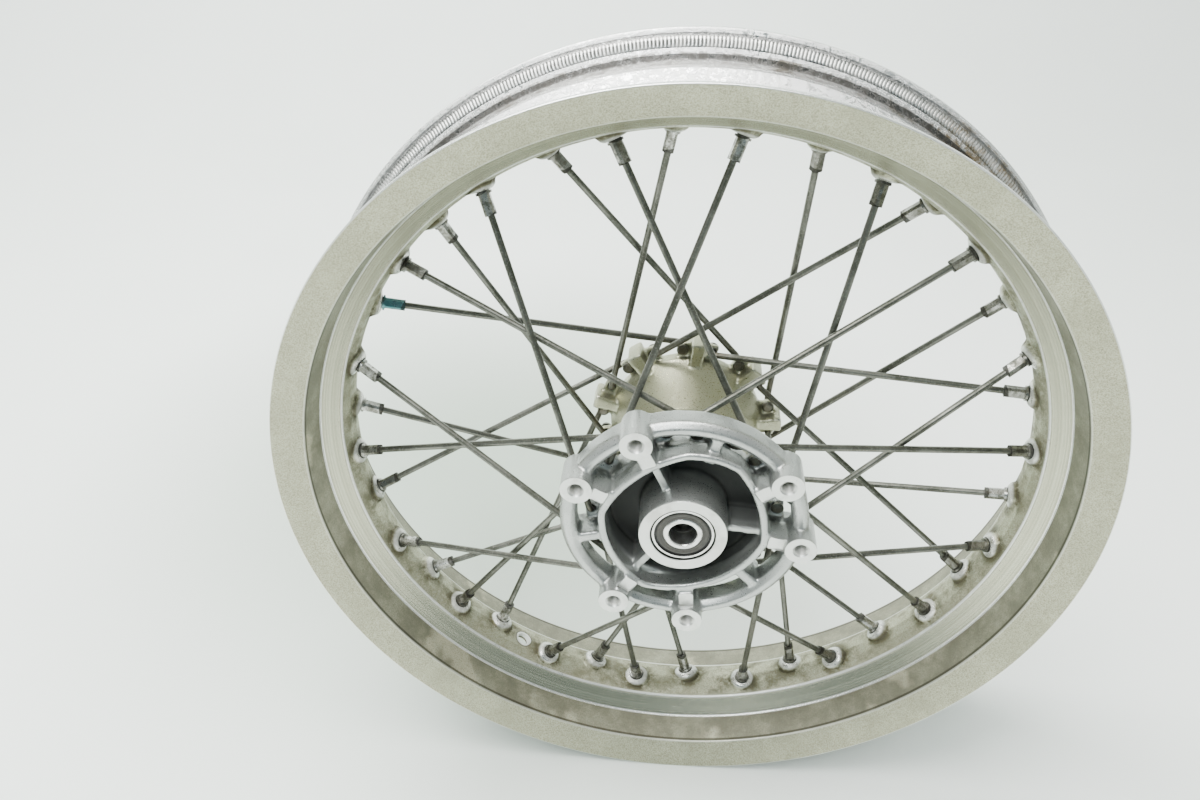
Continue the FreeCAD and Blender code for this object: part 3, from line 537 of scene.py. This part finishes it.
def spoke_material():
    """Dull zinc plated steel, darker where grime sits and browner towards the hub."""
    shade = Shade("spoke_steel")
    streak = shade.noise(45.0, 4.0, 0.6)
    fine = shade.noise(900.0, 3.0)
    colour = shade.mix(shade.rise(streak, 0.36, 0.66), tone(0.085, 0.087, 0.070), tone(0.18, 0.18, 0.155))
    colour = shade.mix(shade.product(shade.rise(fine, 0.5, 0.75), 0.4), colour, tone(0.34, 0.335, 0.30))
    elbow = shade.product(shade.rise(shade.radius, *ELBOW_RADII),
                          shade.rise(shade.noise(160.0, 4.0), 0.30, 0.6))
    colour = shade.mix(shade.product(elbow, 0.5), colour, tone(0.13, 0.11, 0.075))
    roughness = shade.blend(shade.rise(streak, 0.3, 0.7), 0.44, 0.30)
    return shade.finish(colour, roughness, 0.85, fine, 0.00006)


def nipple_material():
    """Worn nickel plate, dark with grime at both ends and in places, and blue-green on one nipple."""
    shade = Shade("nipple_plate")
    wear = shade.noise(240.0, 5.0, 0.7)
    each = shade.rise(shade.noise(22.0, 1.0), 0.42, 0.56)
    colour = shade.mix(shade.rise(wear, 0.38, 0.60), tone(0.16, 0.155, 0.13), tone(0.58, 0.575, 0.54))
    colour = shade.mix(shade.product(each, 0.75), colour, tone(0.085, 0.082, 0.062))
    family, number = TINTED_NIPPLE
    seat, inward = nipple_axis(family, number)
    middle = (seat + inward * TINT_PLACE) * MM
    tint = shade.product(shade.near(middle, *TINT_REACH), 0.85)
    colour = shade.mix(tint, colour, tone(0.085, 0.24, 0.26))
    ends = shade.math("SUBTRACT", 1.0, shade.band(shade.radius, *CLEAN_NIPPLE_RADII, 0.0005))
    colour = shade.mix(shade.product(ends, 0.75), colour, tone(0.028, 0.026, 0.020))
    roughness = shade.blend(shade.rise(wear, 0.3, 0.7), 0.42, 0.22)
    roughness = shade.blend(ends, roughness, 0.60)
    return shade.finish(colour, roughness, 0.90, wear, 0.00012)


def steel_material(name, bright, dark, low_roughness, high_roughness):
    """Ground or drawn steel with turning marks about the axle, and painted shade and grime where a bearing
    meets its seat.
    """
    shade = Shade(name)
    marks = shade.line_noise(shade.radius, 6200.0)
    stain = shade.rise(shade.noise(210.0, 5.0), 0.42, 0.70)
    colour = shade.mix(stain, bright, dark)
    # Painted shade, partly grime: near black on the race's outer chamfer, where it meets the hub's bore.
    seam_grime_and_shade = shade.rise(shade.radius, *BEARING_SEAM_RADII)
    colour = shade.mix(shade.product(seam_grime_and_shade, 0.95), colour, tone(0.020, 0.019, 0.016))
    roughness = shade.blend(marks, low_roughness, high_roughness)
    return shade.finish(colour, shade.blend(seam_grime_and_shade, roughness, 0.7), 0.95, marks, 0.00003)


def seal_material():
    """Dark brown nitrile rubber with moulded rings, a little dust and painted shade in its groove."""
    shade = Shade("seal_rubber")
    dust = shade.rise(shade.noise(260.0, 5.0, 0.7), 0.46, 0.76)
    rings = shade.line_noise(shade.radius, 2600.0)
    colour = shade.mix(shade.product(dust, 0.6), tone(0.040, 0.036, 0.030), tone(0.095, 0.088, 0.076))
    # Painted shade: the groove near black.
    groove_shade = shade.rise(shade.radius, *SEAL_GROOVE_RADII)
    colour = shade.mix(groove_shade, colour, tone(0.006, 0.006, 0.005))
    return shade.finish(colour, shade.blend(dust, 0.42, 0.62), 0.0, rings, 0.00006)


def studio_material(name, light, dark):
    """Matt pale paper with a faint unevenness, duller just behind the wheel, where a shadow is painted."""
    shade = Shade(name)
    cloud = shade.noise(3.0, 2.0)
    colour = shade.mix(shade.rise(cloud, 0.3, 0.7), light, dark)
    # Painted shadow: the paper darker and greener round a place just behind the wheel.
    behind = shade.near(SHADED_PLACE, *SHADED_REACH)
    colour = shade.mix(shade.product(behind, 0.85), colour, tone(0.34, 0.42, 0.34))
    return shade.finish(colour, 0.85, 0.0)


# ---------------------------------------------------------------- mesh helpers

def polar(radius, angle, width=0.0):
    """The point at a radius, at an angle in degrees about the axle and at a width along it."""
    turn = math.radians(angle)
    return Vector((radius * math.cos(turn), width, radius * math.sin(turn)))


def nipple_axis(name, number):
    """A nipple's seat in the rim and the direction from there to the hub, in millimetres."""
    family = FAMILIES[name]
    turn = 360.0 / SPOKES_PER_FAMILY * number
    seat = polar(SEAT_RADIUS, family["nipple_angle"] + turn, family["row_width"])
    elbow = polar(ELBOW_RADIUS, family["elbow_angle"] + turn, family["elbow_width"])
    return seat, (elbow - seat).normalized()


ALL_NIPPLES = [nipple_axis(name, number) for name in FAMILIES for number in range(SPOKES_PER_FAMILY)]


def rounded(points):
    """A closed outline with each corner rounded by its own fillet radius."""
    count = len(points)
    made = []
    for index, (x, y, fillet) in enumerate(points):
        corner = Vector((x, y))
        before = Vector(points[index - 1][:2]) - corner
        after = Vector(points[(index + 1) % count][:2]) - corner
        half = before.angle(after) / 2
        reach = min(fillet / math.tan(half), 0.45 * before.length, 0.45 * after.length)
        start = corner + before.normalized() * reach
        end = corner + after.normalized() * reach
        for step in range(FILLET_STEPS + 1):
            t = step / FILLET_STEPS
            made.append(start * (1 - t) ** 2 + corner * 2 * t * (1 - t) + end * t ** 2)
    return made


def divided(points, spacing, below):
    """A closed outline with extra points on its long sides, where the radius is below a limit."""
    made = []
    for index, point in enumerate(points):
        after = points[(index + 1) % len(points)]
        made.append(point)
        if max(point.x, after.x) < below:
            count = int((after - point).length // spacing)
            made += [point.lerp(after, step / (count + 1)) for step in range(1, count + 1)]
    return made


def new_object(name, points, faces, smooth_angle=SMOOTH_ANGLE):
    """A mesh object from points in metres, smooth except at sharp edges."""
    mesh = bpy.data.meshes.new(name)
    mesh.from_pydata([tuple(point) for point in points], [], faces)
    mesh.validate()
    made = bpy.data.objects.new(name, mesh)
    bpy.context.scene.collection.objects.link(made)
    shade_by_angle(made, smooth_angle)
    return made


def shade_by_angle(made, angle):
    """Smooth shading with sharp edges where faces meet at more than an angle."""
    made.data.polygons.foreach_set("use_smooth", [True] * len(made.data.polygons))
    made.data.set_sharp_from_angle(angle=angle)


def outward(made):
    """Turn a closed mesh's faces outwards."""
    mesh = made.data
    mesh.calc_loop_triangles()
    corners = np.zeros(len(mesh.loop_triangles) * 3, np.int32)
    mesh.loop_triangles.foreach_get("vertices", corners)
    first, second, third = points_of(made)[corners.reshape(-1, 3)].transpose(1, 0, 2)
    if np.einsum("ij,ij->i", first, np.cross(second, third)).sum() < 0:
        mesh.flip_normals()


def ring_grid(section, steps):
    """The points of a closed section, in millimetres, turned about the axle, and the faces that join them."""
    turns = np.arange(steps) * 2 * np.pi / steps
    radii = np.array([point[0] for point in section])
    widths = np.array([point[1] for point in section])
    points = np.stack([radii[None, :] * np.cos(turns)[:, None], np.repeat(widths[None, :], steps, 0),
                       radii[None, :] * np.sin(turns)[:, None]], axis=2)
    rows, columns = np.meshgrid(np.arange(steps), np.arange(len(section)), indexing="ij")
    next_row, next_column = (rows + 1) % steps, (columns + 1) % len(section)
    count = len(section)
    faces = np.stack([rows * count + columns, rows * count + next_column,
                      next_row * count + next_column, next_row * count + columns], axis=2)
    return points.reshape(-1, 3), faces.reshape(-1, 4)


def drill(section, start, direction):
    """A mesh of a section of (radius, depth) in millimetres turned about a line, with flat ends."""
    steps = DRILL_STEPS
    turn = Vector((0, 0, 1)).rotation_difference(direction)
    points = []
    for radius, depth in section:
        for step in range(steps):
            angle = 2 * math.pi * step / steps
            local = Vector((radius * math.cos(angle), radius * math.sin(angle), depth))
            points.append((start + turn @ local) * MM)
    faces = [list(reversed(range(steps))), list(range((len(section) - 1) * steps, len(section) * steps))]
    for ring in range(len(section) - 1):
        for step in range(steps):
            after = (step + 1) % steps
            faces.append([ring * steps + step, ring * steps + after, (ring + 1) * steps + after,
                          (ring + 1) * steps + step])
    return points, faces


def box_tool(low, high, turn):
    """The mesh of a box from a lowest to a highest corner, in millimetres, turned about the axle."""
    spin = Matrix.Rotation(-math.radians(turn), 3, "Y")
    points = [spin @ Vector((x, y, z)) * MM for x in (low[0], high[0]) for y in (low[1], high[1])
              for z in (low[2], high[2])]
    faces = [[0, 1, 3, 2], [4, 6, 7, 5], [0, 4, 5, 1], [2, 3, 7, 6], [0, 2, 6, 4], [1, 5, 7, 3]]
    return points, faces


def diced(tool, cuts):
    """A box tool with its sides divided into small cells, so that no cut face wraps round a hole."""
    mesh = bmesh.new()
    corners = [mesh.verts.new(point) for point in tool[0]]
    for face in tool[1]:
        mesh.faces.new([corners[index] for index in face])
    bmesh.ops.subdivide_edges(mesh, edges=mesh.edges[:], cuts=cuts, use_grid_fill=True)
    mesh.verts.index_update()
    points = [corner.co.copy() for corner in mesh.verts]
    faces = [[corner.index for corner in face.verts] for face in mesh.faces]
    mesh.free()
    return points, faces


def cut(made, tools):
    """Cut tool meshes out of an object, one after another."""
    for points, faces in tools:
        tool = new_object("tool", points, faces)
        outward(tool)
        modifier = made.modifiers.new("cut", "BOOLEAN")
        modifier.operation = "DIFFERENCE"
        modifier.solver = "MANIFOLD"
        modifier.object = tool
        apply_modifiers(made)
        bpy.data.objects.remove(tool)


def joined(tools):
    """Several tool meshes as one."""
    points, faces = [], []
    for more_points, more_faces in tools:
        first = len(points)
        points += more_points
        faces += [[first + index for index in face] for face in more_faces]
    return points, faces


def apply_modifiers(made):
    """Bake an object's modifiers into its mesh."""
    bpy.context.view_layer.update()
    evaluated = made.evaluated_get(bpy.context.evaluated_depsgraph_get())
    mesh = bpy.data.meshes.new_from_object(evaluated)
    old = made.data
    made.modifiers.clear()
    made.data = mesh
    bpy.data.meshes.remove(old)


def store(made, name, values):
    """Keep a value for each point of a mesh."""
    layer = made.data.attributes.new(name, "FLOAT", "POINT")
    layer.data.foreach_set("value", np.asarray(values, np.float32))


def ramp(values, low, high):
    """The smooth step of an array: 0 below low, 1 above high."""
    t = np.clip((values - low) / (high - low), 0.0, 1.0)
    return t * t * (3 - 2 * t)


def points_of(made):
    """A mesh's points as an array in millimetres."""
    flat = np.zeros(len(made.data.vertices) * 3, np.float32)
    made.data.vertices.foreach_get("co", flat)
    return flat.reshape(-1, 3).astype(float) / MM


def set_materials(made, *materials):
    """Give an object its materials in order."""
    made.data.materials.clear()
    for material in materials:
        made.data.materials.append(material)


# ---------------------------------------------------------------- rim

def press_dimples(points, outside):
    """Push the bed out into a leaning dimple at each nipple, and the well's floor into a pocket."""
    moved = points.copy()
    relief = np.zeros(len(points))
    for seat, inward in ALL_NIPPLES:
        offset = points - np.array(seat)
        close = np.where((offset ** 2).sum(1) < DIMPLE_SEARCH ** 2)[0]
        along = offset[close] @ np.array(inward)
        aside = np.linalg.norm(offset[close] - along[:, None] * np.array(inward), axis=1)
        fall = np.clip((aside - DIMPLE_TOP_RADIUS) / (DIMPLE_FOOT_RADIUS - DIMPLE_TOP_RADIUS), 0.0, 1.0)
        dome = np.sqrt(1 - fall ** 2)
        well = 1 - ramp(aside, POCKET_FLOOR_RADIUS, POCKET_EDGE_RADIUS)
        skin = outside[close]
        lift = np.where(skin, np.maximum(DIMPLE_REACH - along, 0.0) * dome,
                        np.maximum(POCKET_REACH - along, 0.0) * well)
        moved[close] += lift[:, None] * np.array(inward)
        relief[close] = np.maximum(relief[close], np.where(skin, dome, well))
    return moved, relief


def make_rim():
    """The rim as one turned mesh with dimples, nipple holes and the empty valve hole."""
    outside = RIM_OUTSIDE + [BED_CENTRE] + [(r, -w, f) for r, w, f in reversed(RIM_OUTSIDE)]
    channel = [(r, -w, f) for r, w, f in RIM_CHANNEL] + [WELL_CENTRE] + list(reversed(RIM_CHANNEL))
    section = divided(rounded(outside + channel), FINE_SPACING, FINE_BELOW_RADIUS)
    points, faces = ring_grid(section, RIM_STEPS)
    middle = BED_MIDDLE_RADIUS + BED_MIDDLE_SLOPE * np.abs(points[:, 1])
    on_outside = np.hypot(points[:, 0], points[:, 2]) < middle
    moved, relief = press_dimples(points, on_outside)
    made = new_object("alloy_rim", moved * MM, faces.tolist())
    outward(made)
    store(made, "dimple", relief)
    holes = [drill([(NIPPLE_HOLE_RADIUS, depth) for depth in NIPPLE_HOLE_SPAN], seat, inward)
             for seat, inward in ALL_NIPPLES]
    valve = polar(1.0, VALVE_ANGLE)
    holes.append(drill([(VALVE_HOLE_RADIUS, 0.0), (VALVE_HOLE_RADIUS, VALVE_DRILL_DEPTH)],
                       valve * VALVE_DRILL_START, -valve))
    cut(made, [joined(holes)])
    finish_rim(made)
    return made


def finish_rim(made):
    """Store how near each point is to a nipple's hole, and give the channel its own material."""
    points = points_of(made)
    edge = np.zeros(len(points))
    surround = np.zeros(len(points))
    for seat, inward in ALL_NIPPLES:
        offset = points - np.array(seat)
        close = np.where((offset ** 2).sum(1) < SURROUND_SEARCH ** 2)[0]
        along = offset[close] @ np.array(inward)
        aside = np.linalg.norm(offset[close] - along[:, None] * np.array(inward), axis=1)
        edge[close] = np.maximum(edge[close], 1 - ramp(aside, *NIPPLE_GRIME_RADII))
        surround[close] = np.maximum(surround[close], 1 - ramp(aside, *SURROUND_RADII))
    store(made, "nipple_edge", edge)
    store(made, "dimple_surround", surround)
    shade_by_angle(made, RIM_SMOOTH_ANGLE)
    set_materials(made, rim_outside_material(), rim_channel_material())
    centres = np.zeros(len(made.data.polygons) * 3, np.float32)
    made.data.polygons.foreach_get("center", centres)
    centres = centres.reshape(-1, 3) / MM
    radius = np.hypot(centres[:, 0], centres[:, 2])
    width = np.abs(centres[:, 1])
    middle = np.interp(width, MIDDLE_WIDTHS, MIDDLE_RADII)
    made.data.polygons.foreach_set("material_index", (radius > middle).astype(np.int32))


def make_knurl(side):
    """A band of fine ridges across one flange's inner face, where the tyre's bead bears."""
    (low_radius, low_width), (high_radius, high_width) = KNURL_FLANGE
    slope = (high_width - low_width) / (high_radius - low_radius)
    normal = Vector((slope, -1.0)).normalized()
    rows = KNURL_ROWS
    samples = len(KNURL_RIDGE)
    steps = KNURL_RIDGES * samples
    points, crests = [], []
    for step in range(steps):
        angle = 2 * math.pi * step / steps
        wave = KNURL_RIDGE[step % samples]
        for row in range(rows):
            t = row / (rows - 1)
            radius = KNURL_BAND[0] + (KNURL_BAND[1] - KNURL_BAND[0]) * t
            width = low_width + slope * (radius - low_radius)
            lift = KNURL_HEIGHT * wave * math.sin(math.pi * t) ** 0.5 if 0 < row < rows - 1 else 0.0
            radius += normal.x * lift
            width += normal.y * lift
            points.append(Vector((radius * math.cos(angle), side * width, radius * math.sin(angle))) * MM)
            crests.append(wave if 0 < row < rows - 1 else 0.0)
    faces = []
    for step in range(steps):
        after = (step + 1) % steps
        for row in range(rows - 1):
            faces.append([step * rows + row, step * rows + row + 1, after * rows + row + 1,
                          after * rows + row][::int(side)])
    made = new_object("bead_knurl_" + ("far" if side > 0 else "near"), points, faces)
    store(made, "crest", crests)
    return made


# ---------------------------------------------------------------- hub

def thread_section():
    """The section of a tapped hole's cutter, as (radius, depth): a countersunk mouth and a ridged wall."""
    section = [(THREAD_MOUTH + 0.4, -0.4), (THREAD_CORE + 0.3, THREAD_MOUTH_DEPTH)]
    depth = 1.2
    while depth < THREAD_DEPTH - THREAD_PITCH:
        section += [(THREAD_CORE, depth), (THREAD_ROOT, depth + 0.5 * THREAD_PITCH)]
        depth += THREAD_PITCH
    return section + [(THREAD_CORE, depth), (THREAD_CORE, THREAD_DEPTH), (0.2, THREAD_DEPTH + 1.8)]


def hub_tools():
    """What is machined out of the hub's casting: its flat faces, bearing seats and tapped holes."""
    wide = SLAB_REACH
    along = Vector((0, 1, 0))
    slabs = [box_tool((-wide, MACHINED_FACE - SLAB_DEPTH, -wide), (wide, MACHINED_FACE, wide), 0.0),
             box_tool((-wide, FAR_FACE, -wide), (wide, FAR_FACE + SLAB_DEPTH, wide), 0.0)]
    steps = [box_tool((STEP_START, MACHINED_FACE - 2.0, -STEP_HALF_WIDTH),
                      (BOSS_CIRCLE_RADIUS - BOSS_RADIUS, STEP_FACE, STEP_HALF_WIDTH), angle)
             for angle in BOSS_ANGLES]
    bores = [drill(BEARING_SEAT, along * MACHINED_FACE, along), drill(BEARING_SEAT, along * FAR_FACE, -along)]
    threads = [drill(thread_section(), polar(BOSS_CIRCLE_RADIUS, angle, MACHINED_FACE), along)
               for angle in BOSS_ANGLES]
    return [diced(slab, SLAB_CUTS) for slab in slabs] + [joined(steps), joined(bores), joined(threads)]


def make_hub():
    """The hub: the casting with rounded edges and fillets, then its faces and holes machined crisp."""
    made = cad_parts["hub"].copy()
    made.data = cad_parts["hub"].data.copy()
    made.name = "cast_hub"
    made.parent = None
    for key in list(made.keys()):
        if key.startswith("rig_"):
            del made[key]
    bpy.context.scene.collection.objects.link(made)
    points = points_of(made)
    for face, shift in ((MACHINED_FACE, -CASTING_ALLOWANCE), (STEP_FACE, -CASTING_ALLOWANCE),
                        (FAR_FACE, CASTING_ALLOWANCE)):
        points[np.abs(points[:, 1] - face) < FACE_SNAP, 1] += shift
    made.data.vertices.foreach_set("co", (points * MM).astype(np.float32).ravel())
    fill_tapped_holes(made)
    remesh = made.modifiers.new("casting", "REMESH")
    remesh.mode = "VOXEL"
    remesh.voxel_size = HUB_VOXEL * MM
    smooth = made.modifiers.new("fillets", "SMOOTH")
    smooth.factor = 0.5
    smooth.iterations = HUB_SMOOTHING
    apply_modifiers(made)
    outward(made)
    cut(made, hub_tools())
    shade_by_angle(made, HUB_SMOOTH_ANGLE)
    mark_machined(made)
    return made


def fill_tapped_holes(made):
    """Close the disc bosses' holes in the casting, so that only the tap shapes them."""
    start = MACHINED_FACE - CASTING_ALLOWANCE
    section = [(PLUG_RADIUS, 0.0), (PLUG_RADIUS, PLUG_DEPTH)]
    points, faces = joined([drill(section, polar(BOSS_CIRCLE_RADIUS, angle, start), Vector((0, 1, 0)))
                            for angle in BOSS_ANGLES])
    mesh = bmesh.new()
    mesh.from_mesh(made.data)
    corners = [mesh.verts.new(point) for point in points]
    for face in faces:
        mesh.faces.new([corners[index] for index in face])
    mesh.to_mesh(made.data)
    mesh.free()


def mark_machined(made):
    """Give the machined faces and the tapped holes their own materials."""
    set_materials(made, hub_cast_material(), hub_machined_material(), thread_material())
    count = len(made.data.polygons)
    centres = np.zeros(count * 3, np.float32)
    normals = np.zeros(count * 3, np.float32)
    made.data.polygons.foreach_get("center", centres)
    made.data.polygons.foreach_get("normal", normals)
    centres = centres.reshape(-1, 3) / MM
    normals = normals.reshape(-1, 3)
    radius = np.hypot(centres[:, 0], centres[:, 2])
    width = centres[:, 1]
    flat = (normals[:, 1] < -FACING_AXLE) & ((np.abs(width - MACHINED_FACE) < FACE_TOLERANCE)
                                             | (np.abs(width - STEP_FACE) < FACE_TOLERANCE))
    flat |= (normals[:, 1] > FACING_AXLE) & (np.abs(width - FAR_FACE) < FACE_TOLERANCE)
    flat |= (radius > BORE_SPAN[0]) & (radius < BORE_SPAN[1])
    index = flat.astype(np.int32)
    for angle in BOSS_ANGLES:
        boss = np.array(polar(BOSS_CIRCLE_RADIUS, angle))
        aside = np.hypot(centres[:, 0] - boss[0], centres[:, 2] - boss[2])
        index[(aside < THREAD_ROOT + 0.02) & (width > MACHINED_FACE + 0.4)] = 2
        index[(aside < THREAD_MOUTH + 0.1) & (width > MACHINED_FACE + 0.02)
              & (width < MACHINED_FACE + THREAD_MOUTH_DEPTH)] = 1
    made.data.polygons.foreach_set("material_index", index)
    made.data.polygons.foreach_set("use_smooth", index == 0)


# ---------------------------------------------------------------- bearings

def make_turned(name, sections):
    """Closed sections, in millimetres, revolved about the axle as one object."""
    points, faces = joined([(list(ring), faces.tolist()) for ring, faces in
                            (ring_grid(section, RING_STEPS) for section in sections)])
    made = new_object(name, [Vector(point) * MM for point in points], faces, TURNED_SMOOTH_ANGLE)
    outward(made)
    return made


def track(middle, outer):
    """The ball track's arc of a race, as (radius, width) points in millimetres."""
    made = []
    for step in range(-TRACK_STEPS, TRACK_STEPS + 1):
        lean = step / TRACK_STEPS * TRACK_LEAN
        reach = TRACK_RADIUS * math.sqrt(1 - lean ** 2)
        made.append((BALL_CIRCLE + (reach if outer else -reach), middle + TRACK_RADIUS * lean))
    return made


def make_bearing(side):
    """A bearing's races with rounded edges and its lipped seals, as the three pieces that show."""
    face, inwards = BEARINGS[side]

    def placed(section):
        """A section moved from the bearing's own face to its place on the axle."""
        return [(radius, face + inwards * depth) for radius, depth in section]

    def mirrored(section):
        """A section seen from the bearing's other face, in the opposite order."""
        return [(radius, BEARING_WIDTH - depth) for radius, depth in reversed(section)]

    middle = BEARING_WIDTH / 2
    outer = OUTER_RACE_EDGE + track(middle, True) + mirrored(OUTER_RACE_EDGE)
    inner = INNER_RACE_EDGE + track(middle, False) + mirrored(INNER_RACE_EDGE)
    return {"outer_race": make_turned(side + "_race_outer", [placed(outer)]),
            "inner_race": make_turned(side + "_race_inner", [placed(inner)]),
            "seals": make_turned(side + "_seal_lips", [placed(SEAL_LIPS), placed(mirrored(SEAL_LIPS))])}


# ---------------------------------------------------------------- camera, light and stage

def make_camera():
    """The photograph's view: a little above the disc side, looking down at the hub."""
    data = bpy.data.cameras.new("camera")
    data.sensor_width = CAMERA_SENSOR
    data.lens = CAMERA_LENS
    made = bpy.data.objects.new("camera", data)
    made.location = CAMERA_PLACE
    made.rotation_euler = (math.pi / 2 - CAMERA_PITCH, 0.0, -CAMERA_YAW)
    bpy.context.scene.collection.objects.link(made)
    bpy.context.scene.camera = made


def add_light(name, place, aim, size, power, colour):
    """A square soft light at a place, aimed at a point."""
    data = bpy.data.lights.new(name, "AREA")
    data.size = size
    data.energy = power
    data.color = colour
    made = bpy.data.objects.new(name, data)
    made.location = place
    made.rotation_euler = (Vector(aim) - Vector(place)).to_track_quat("-Z", "Y").to_euler()
    bpy.context.scene.collection.objects.link(made)


def make_studio(floor_height):
    """A pale floor that curves up into a backdrop, with soft light from above and from the left."""
    profile = [(FLOOR_FRONT, 0.0), (FLOOR_BACK, 0.0)]
    for step in range(1, BACKDROP_STEPS + 1):
        angle = math.pi / 2 * step / BACKDROP_STEPS
        profile.append((FLOOR_BACK + BACKDROP_BEND * math.sin(angle), BACKDROP_BEND * (1 - math.cos(angle))))
    profile.append((FLOOR_BACK + BACKDROP_BEND, BACKDROP_HEIGHT))
    points = [(side * FLOOR_HALF_WIDTH, y, floor_height + z) for y, z in profile for side in (-1, 1)]
    faces = [[2 * row, 2 * row + 1, 2 * row + 3, 2 * row + 2] for row in range(len(profile) - 1)]
    floor = new_object("floor", points, faces, math.pi)
    set_materials(floor, studio_material("studio_paper", tone(0.93, 0.97, 0.935), tone(0.90, 0.94, 0.905)))
    add_light("top_light", (-0.35, -0.12, 1.7), (0.0, 0.05, 0.0), 1.3, 78.0, (1.0, 1.0, 0.98))
    add_light("backdrop_light", (-0.9, 0.5, 1.5), (-0.7, 1.5, 0.3), 0.9, 34.0, (0.97, 1.0, 0.98))
    add_light("front_light", (-0.7, -1.5, 1.9), (0.0, 0.0, 0.0), 1.0, 30.0, (0.95, 1.0, 1.0))


def make_world():
    """Pale even light from all round, and a dimmer, bluer room low in front of the wheel."""
    world = bpy.data.worlds.new("studio")
    world.use_nodes = True
    tree = world.node_tree
    place = tree.nodes.new("ShaderNodeTexCoord")
    split = tree.nodes.new("ShaderNodeSeparateXYZ")
    tree.links.new(place.outputs["Generated"], split.inputs["Vector"])
    front = tree.nodes.new("ShaderNodeMapRange")
    front.interpolation_type = "SMOOTHSTEP"
    front.inputs["From Min"].default_value = ROOM_FRONT[0]
    front.inputs["From Max"].default_value = ROOM_FRONT[1]
    tree.links.new(split.outputs["Y"], front.inputs["Value"])
    mixed = tree.nodes.new("ShaderNodeMix")
    mixed.data_type = "RGBA"
    tree.links.new(front.outputs["Result"], mixed.inputs[0])
    mixed.inputs[6].default_value = tone(0.90, 0.96, 0.92)
    mixed.inputs[7].default_value = tone(0.26, 0.355, 0.38)
    background = tree.nodes["Background"]
    tree.links.new(mixed.outputs[2], background.inputs["Color"])
    background.inputs["Strength"].default_value = ROOM_STRENGTH
    bpy.context.scene.world = world


# ---------------------------------------------------------------- the wheel's pieces

def dress(material, *names):
    """Give CAD nodes a material."""
    for name in names:
        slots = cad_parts[name].material_slots
        for slot in slots:
            slot.material = material
        if not slots:
            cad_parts[name].data.materials.append(material)


make_camera()
make_studio(cad_box[0][2])
make_world()

rim = make_rim()
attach(rim, "wheel")
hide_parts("rim")
knurl = knurl_material()
for side in (-1.0, 1.0):
    band = make_knurl(side)
    set_materials(band, knurl)
    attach(band, "wheel")

hub = make_hub()
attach(hub, "wheel")
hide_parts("hub")

dress(spoke_material(), *[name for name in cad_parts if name.startswith("spoke_")])
dress(nipple_material(), *[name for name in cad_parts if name.startswith("nipples_")])
race = steel_material("bearing_steel", tone(0.78, 0.78, 0.76), tone(0.55, 0.54, 0.51), 0.16, 0.28)
rubber = seal_material()
for side in SIDES:
    for piece, made in make_bearing(side).items():
        seals = piece == "seals"
        set_materials(made, rubber if seals else race)
        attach(made, "axle_fixed" if piece == "inner_race" else "wheel")
        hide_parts(f"{side}_bearing_{piece}")
dress(race, *[f"{side}_bearing_balls" for side in SIDES])
cage = steel_material("cage_steel", tone(0.55, 0.55, 0.54), tone(0.36, 0.35, 0.34), 0.30, 0.42)
dress(cage, *[f"{side}_bearing_cage" for side in SIDES])
spacer = steel_material("spacer_steel", tone(0.44, 0.44, 0.42), tone(0.22, 0.20, 0.17), 0.28, 0.46)
dress(spacer, "spacer_tube")
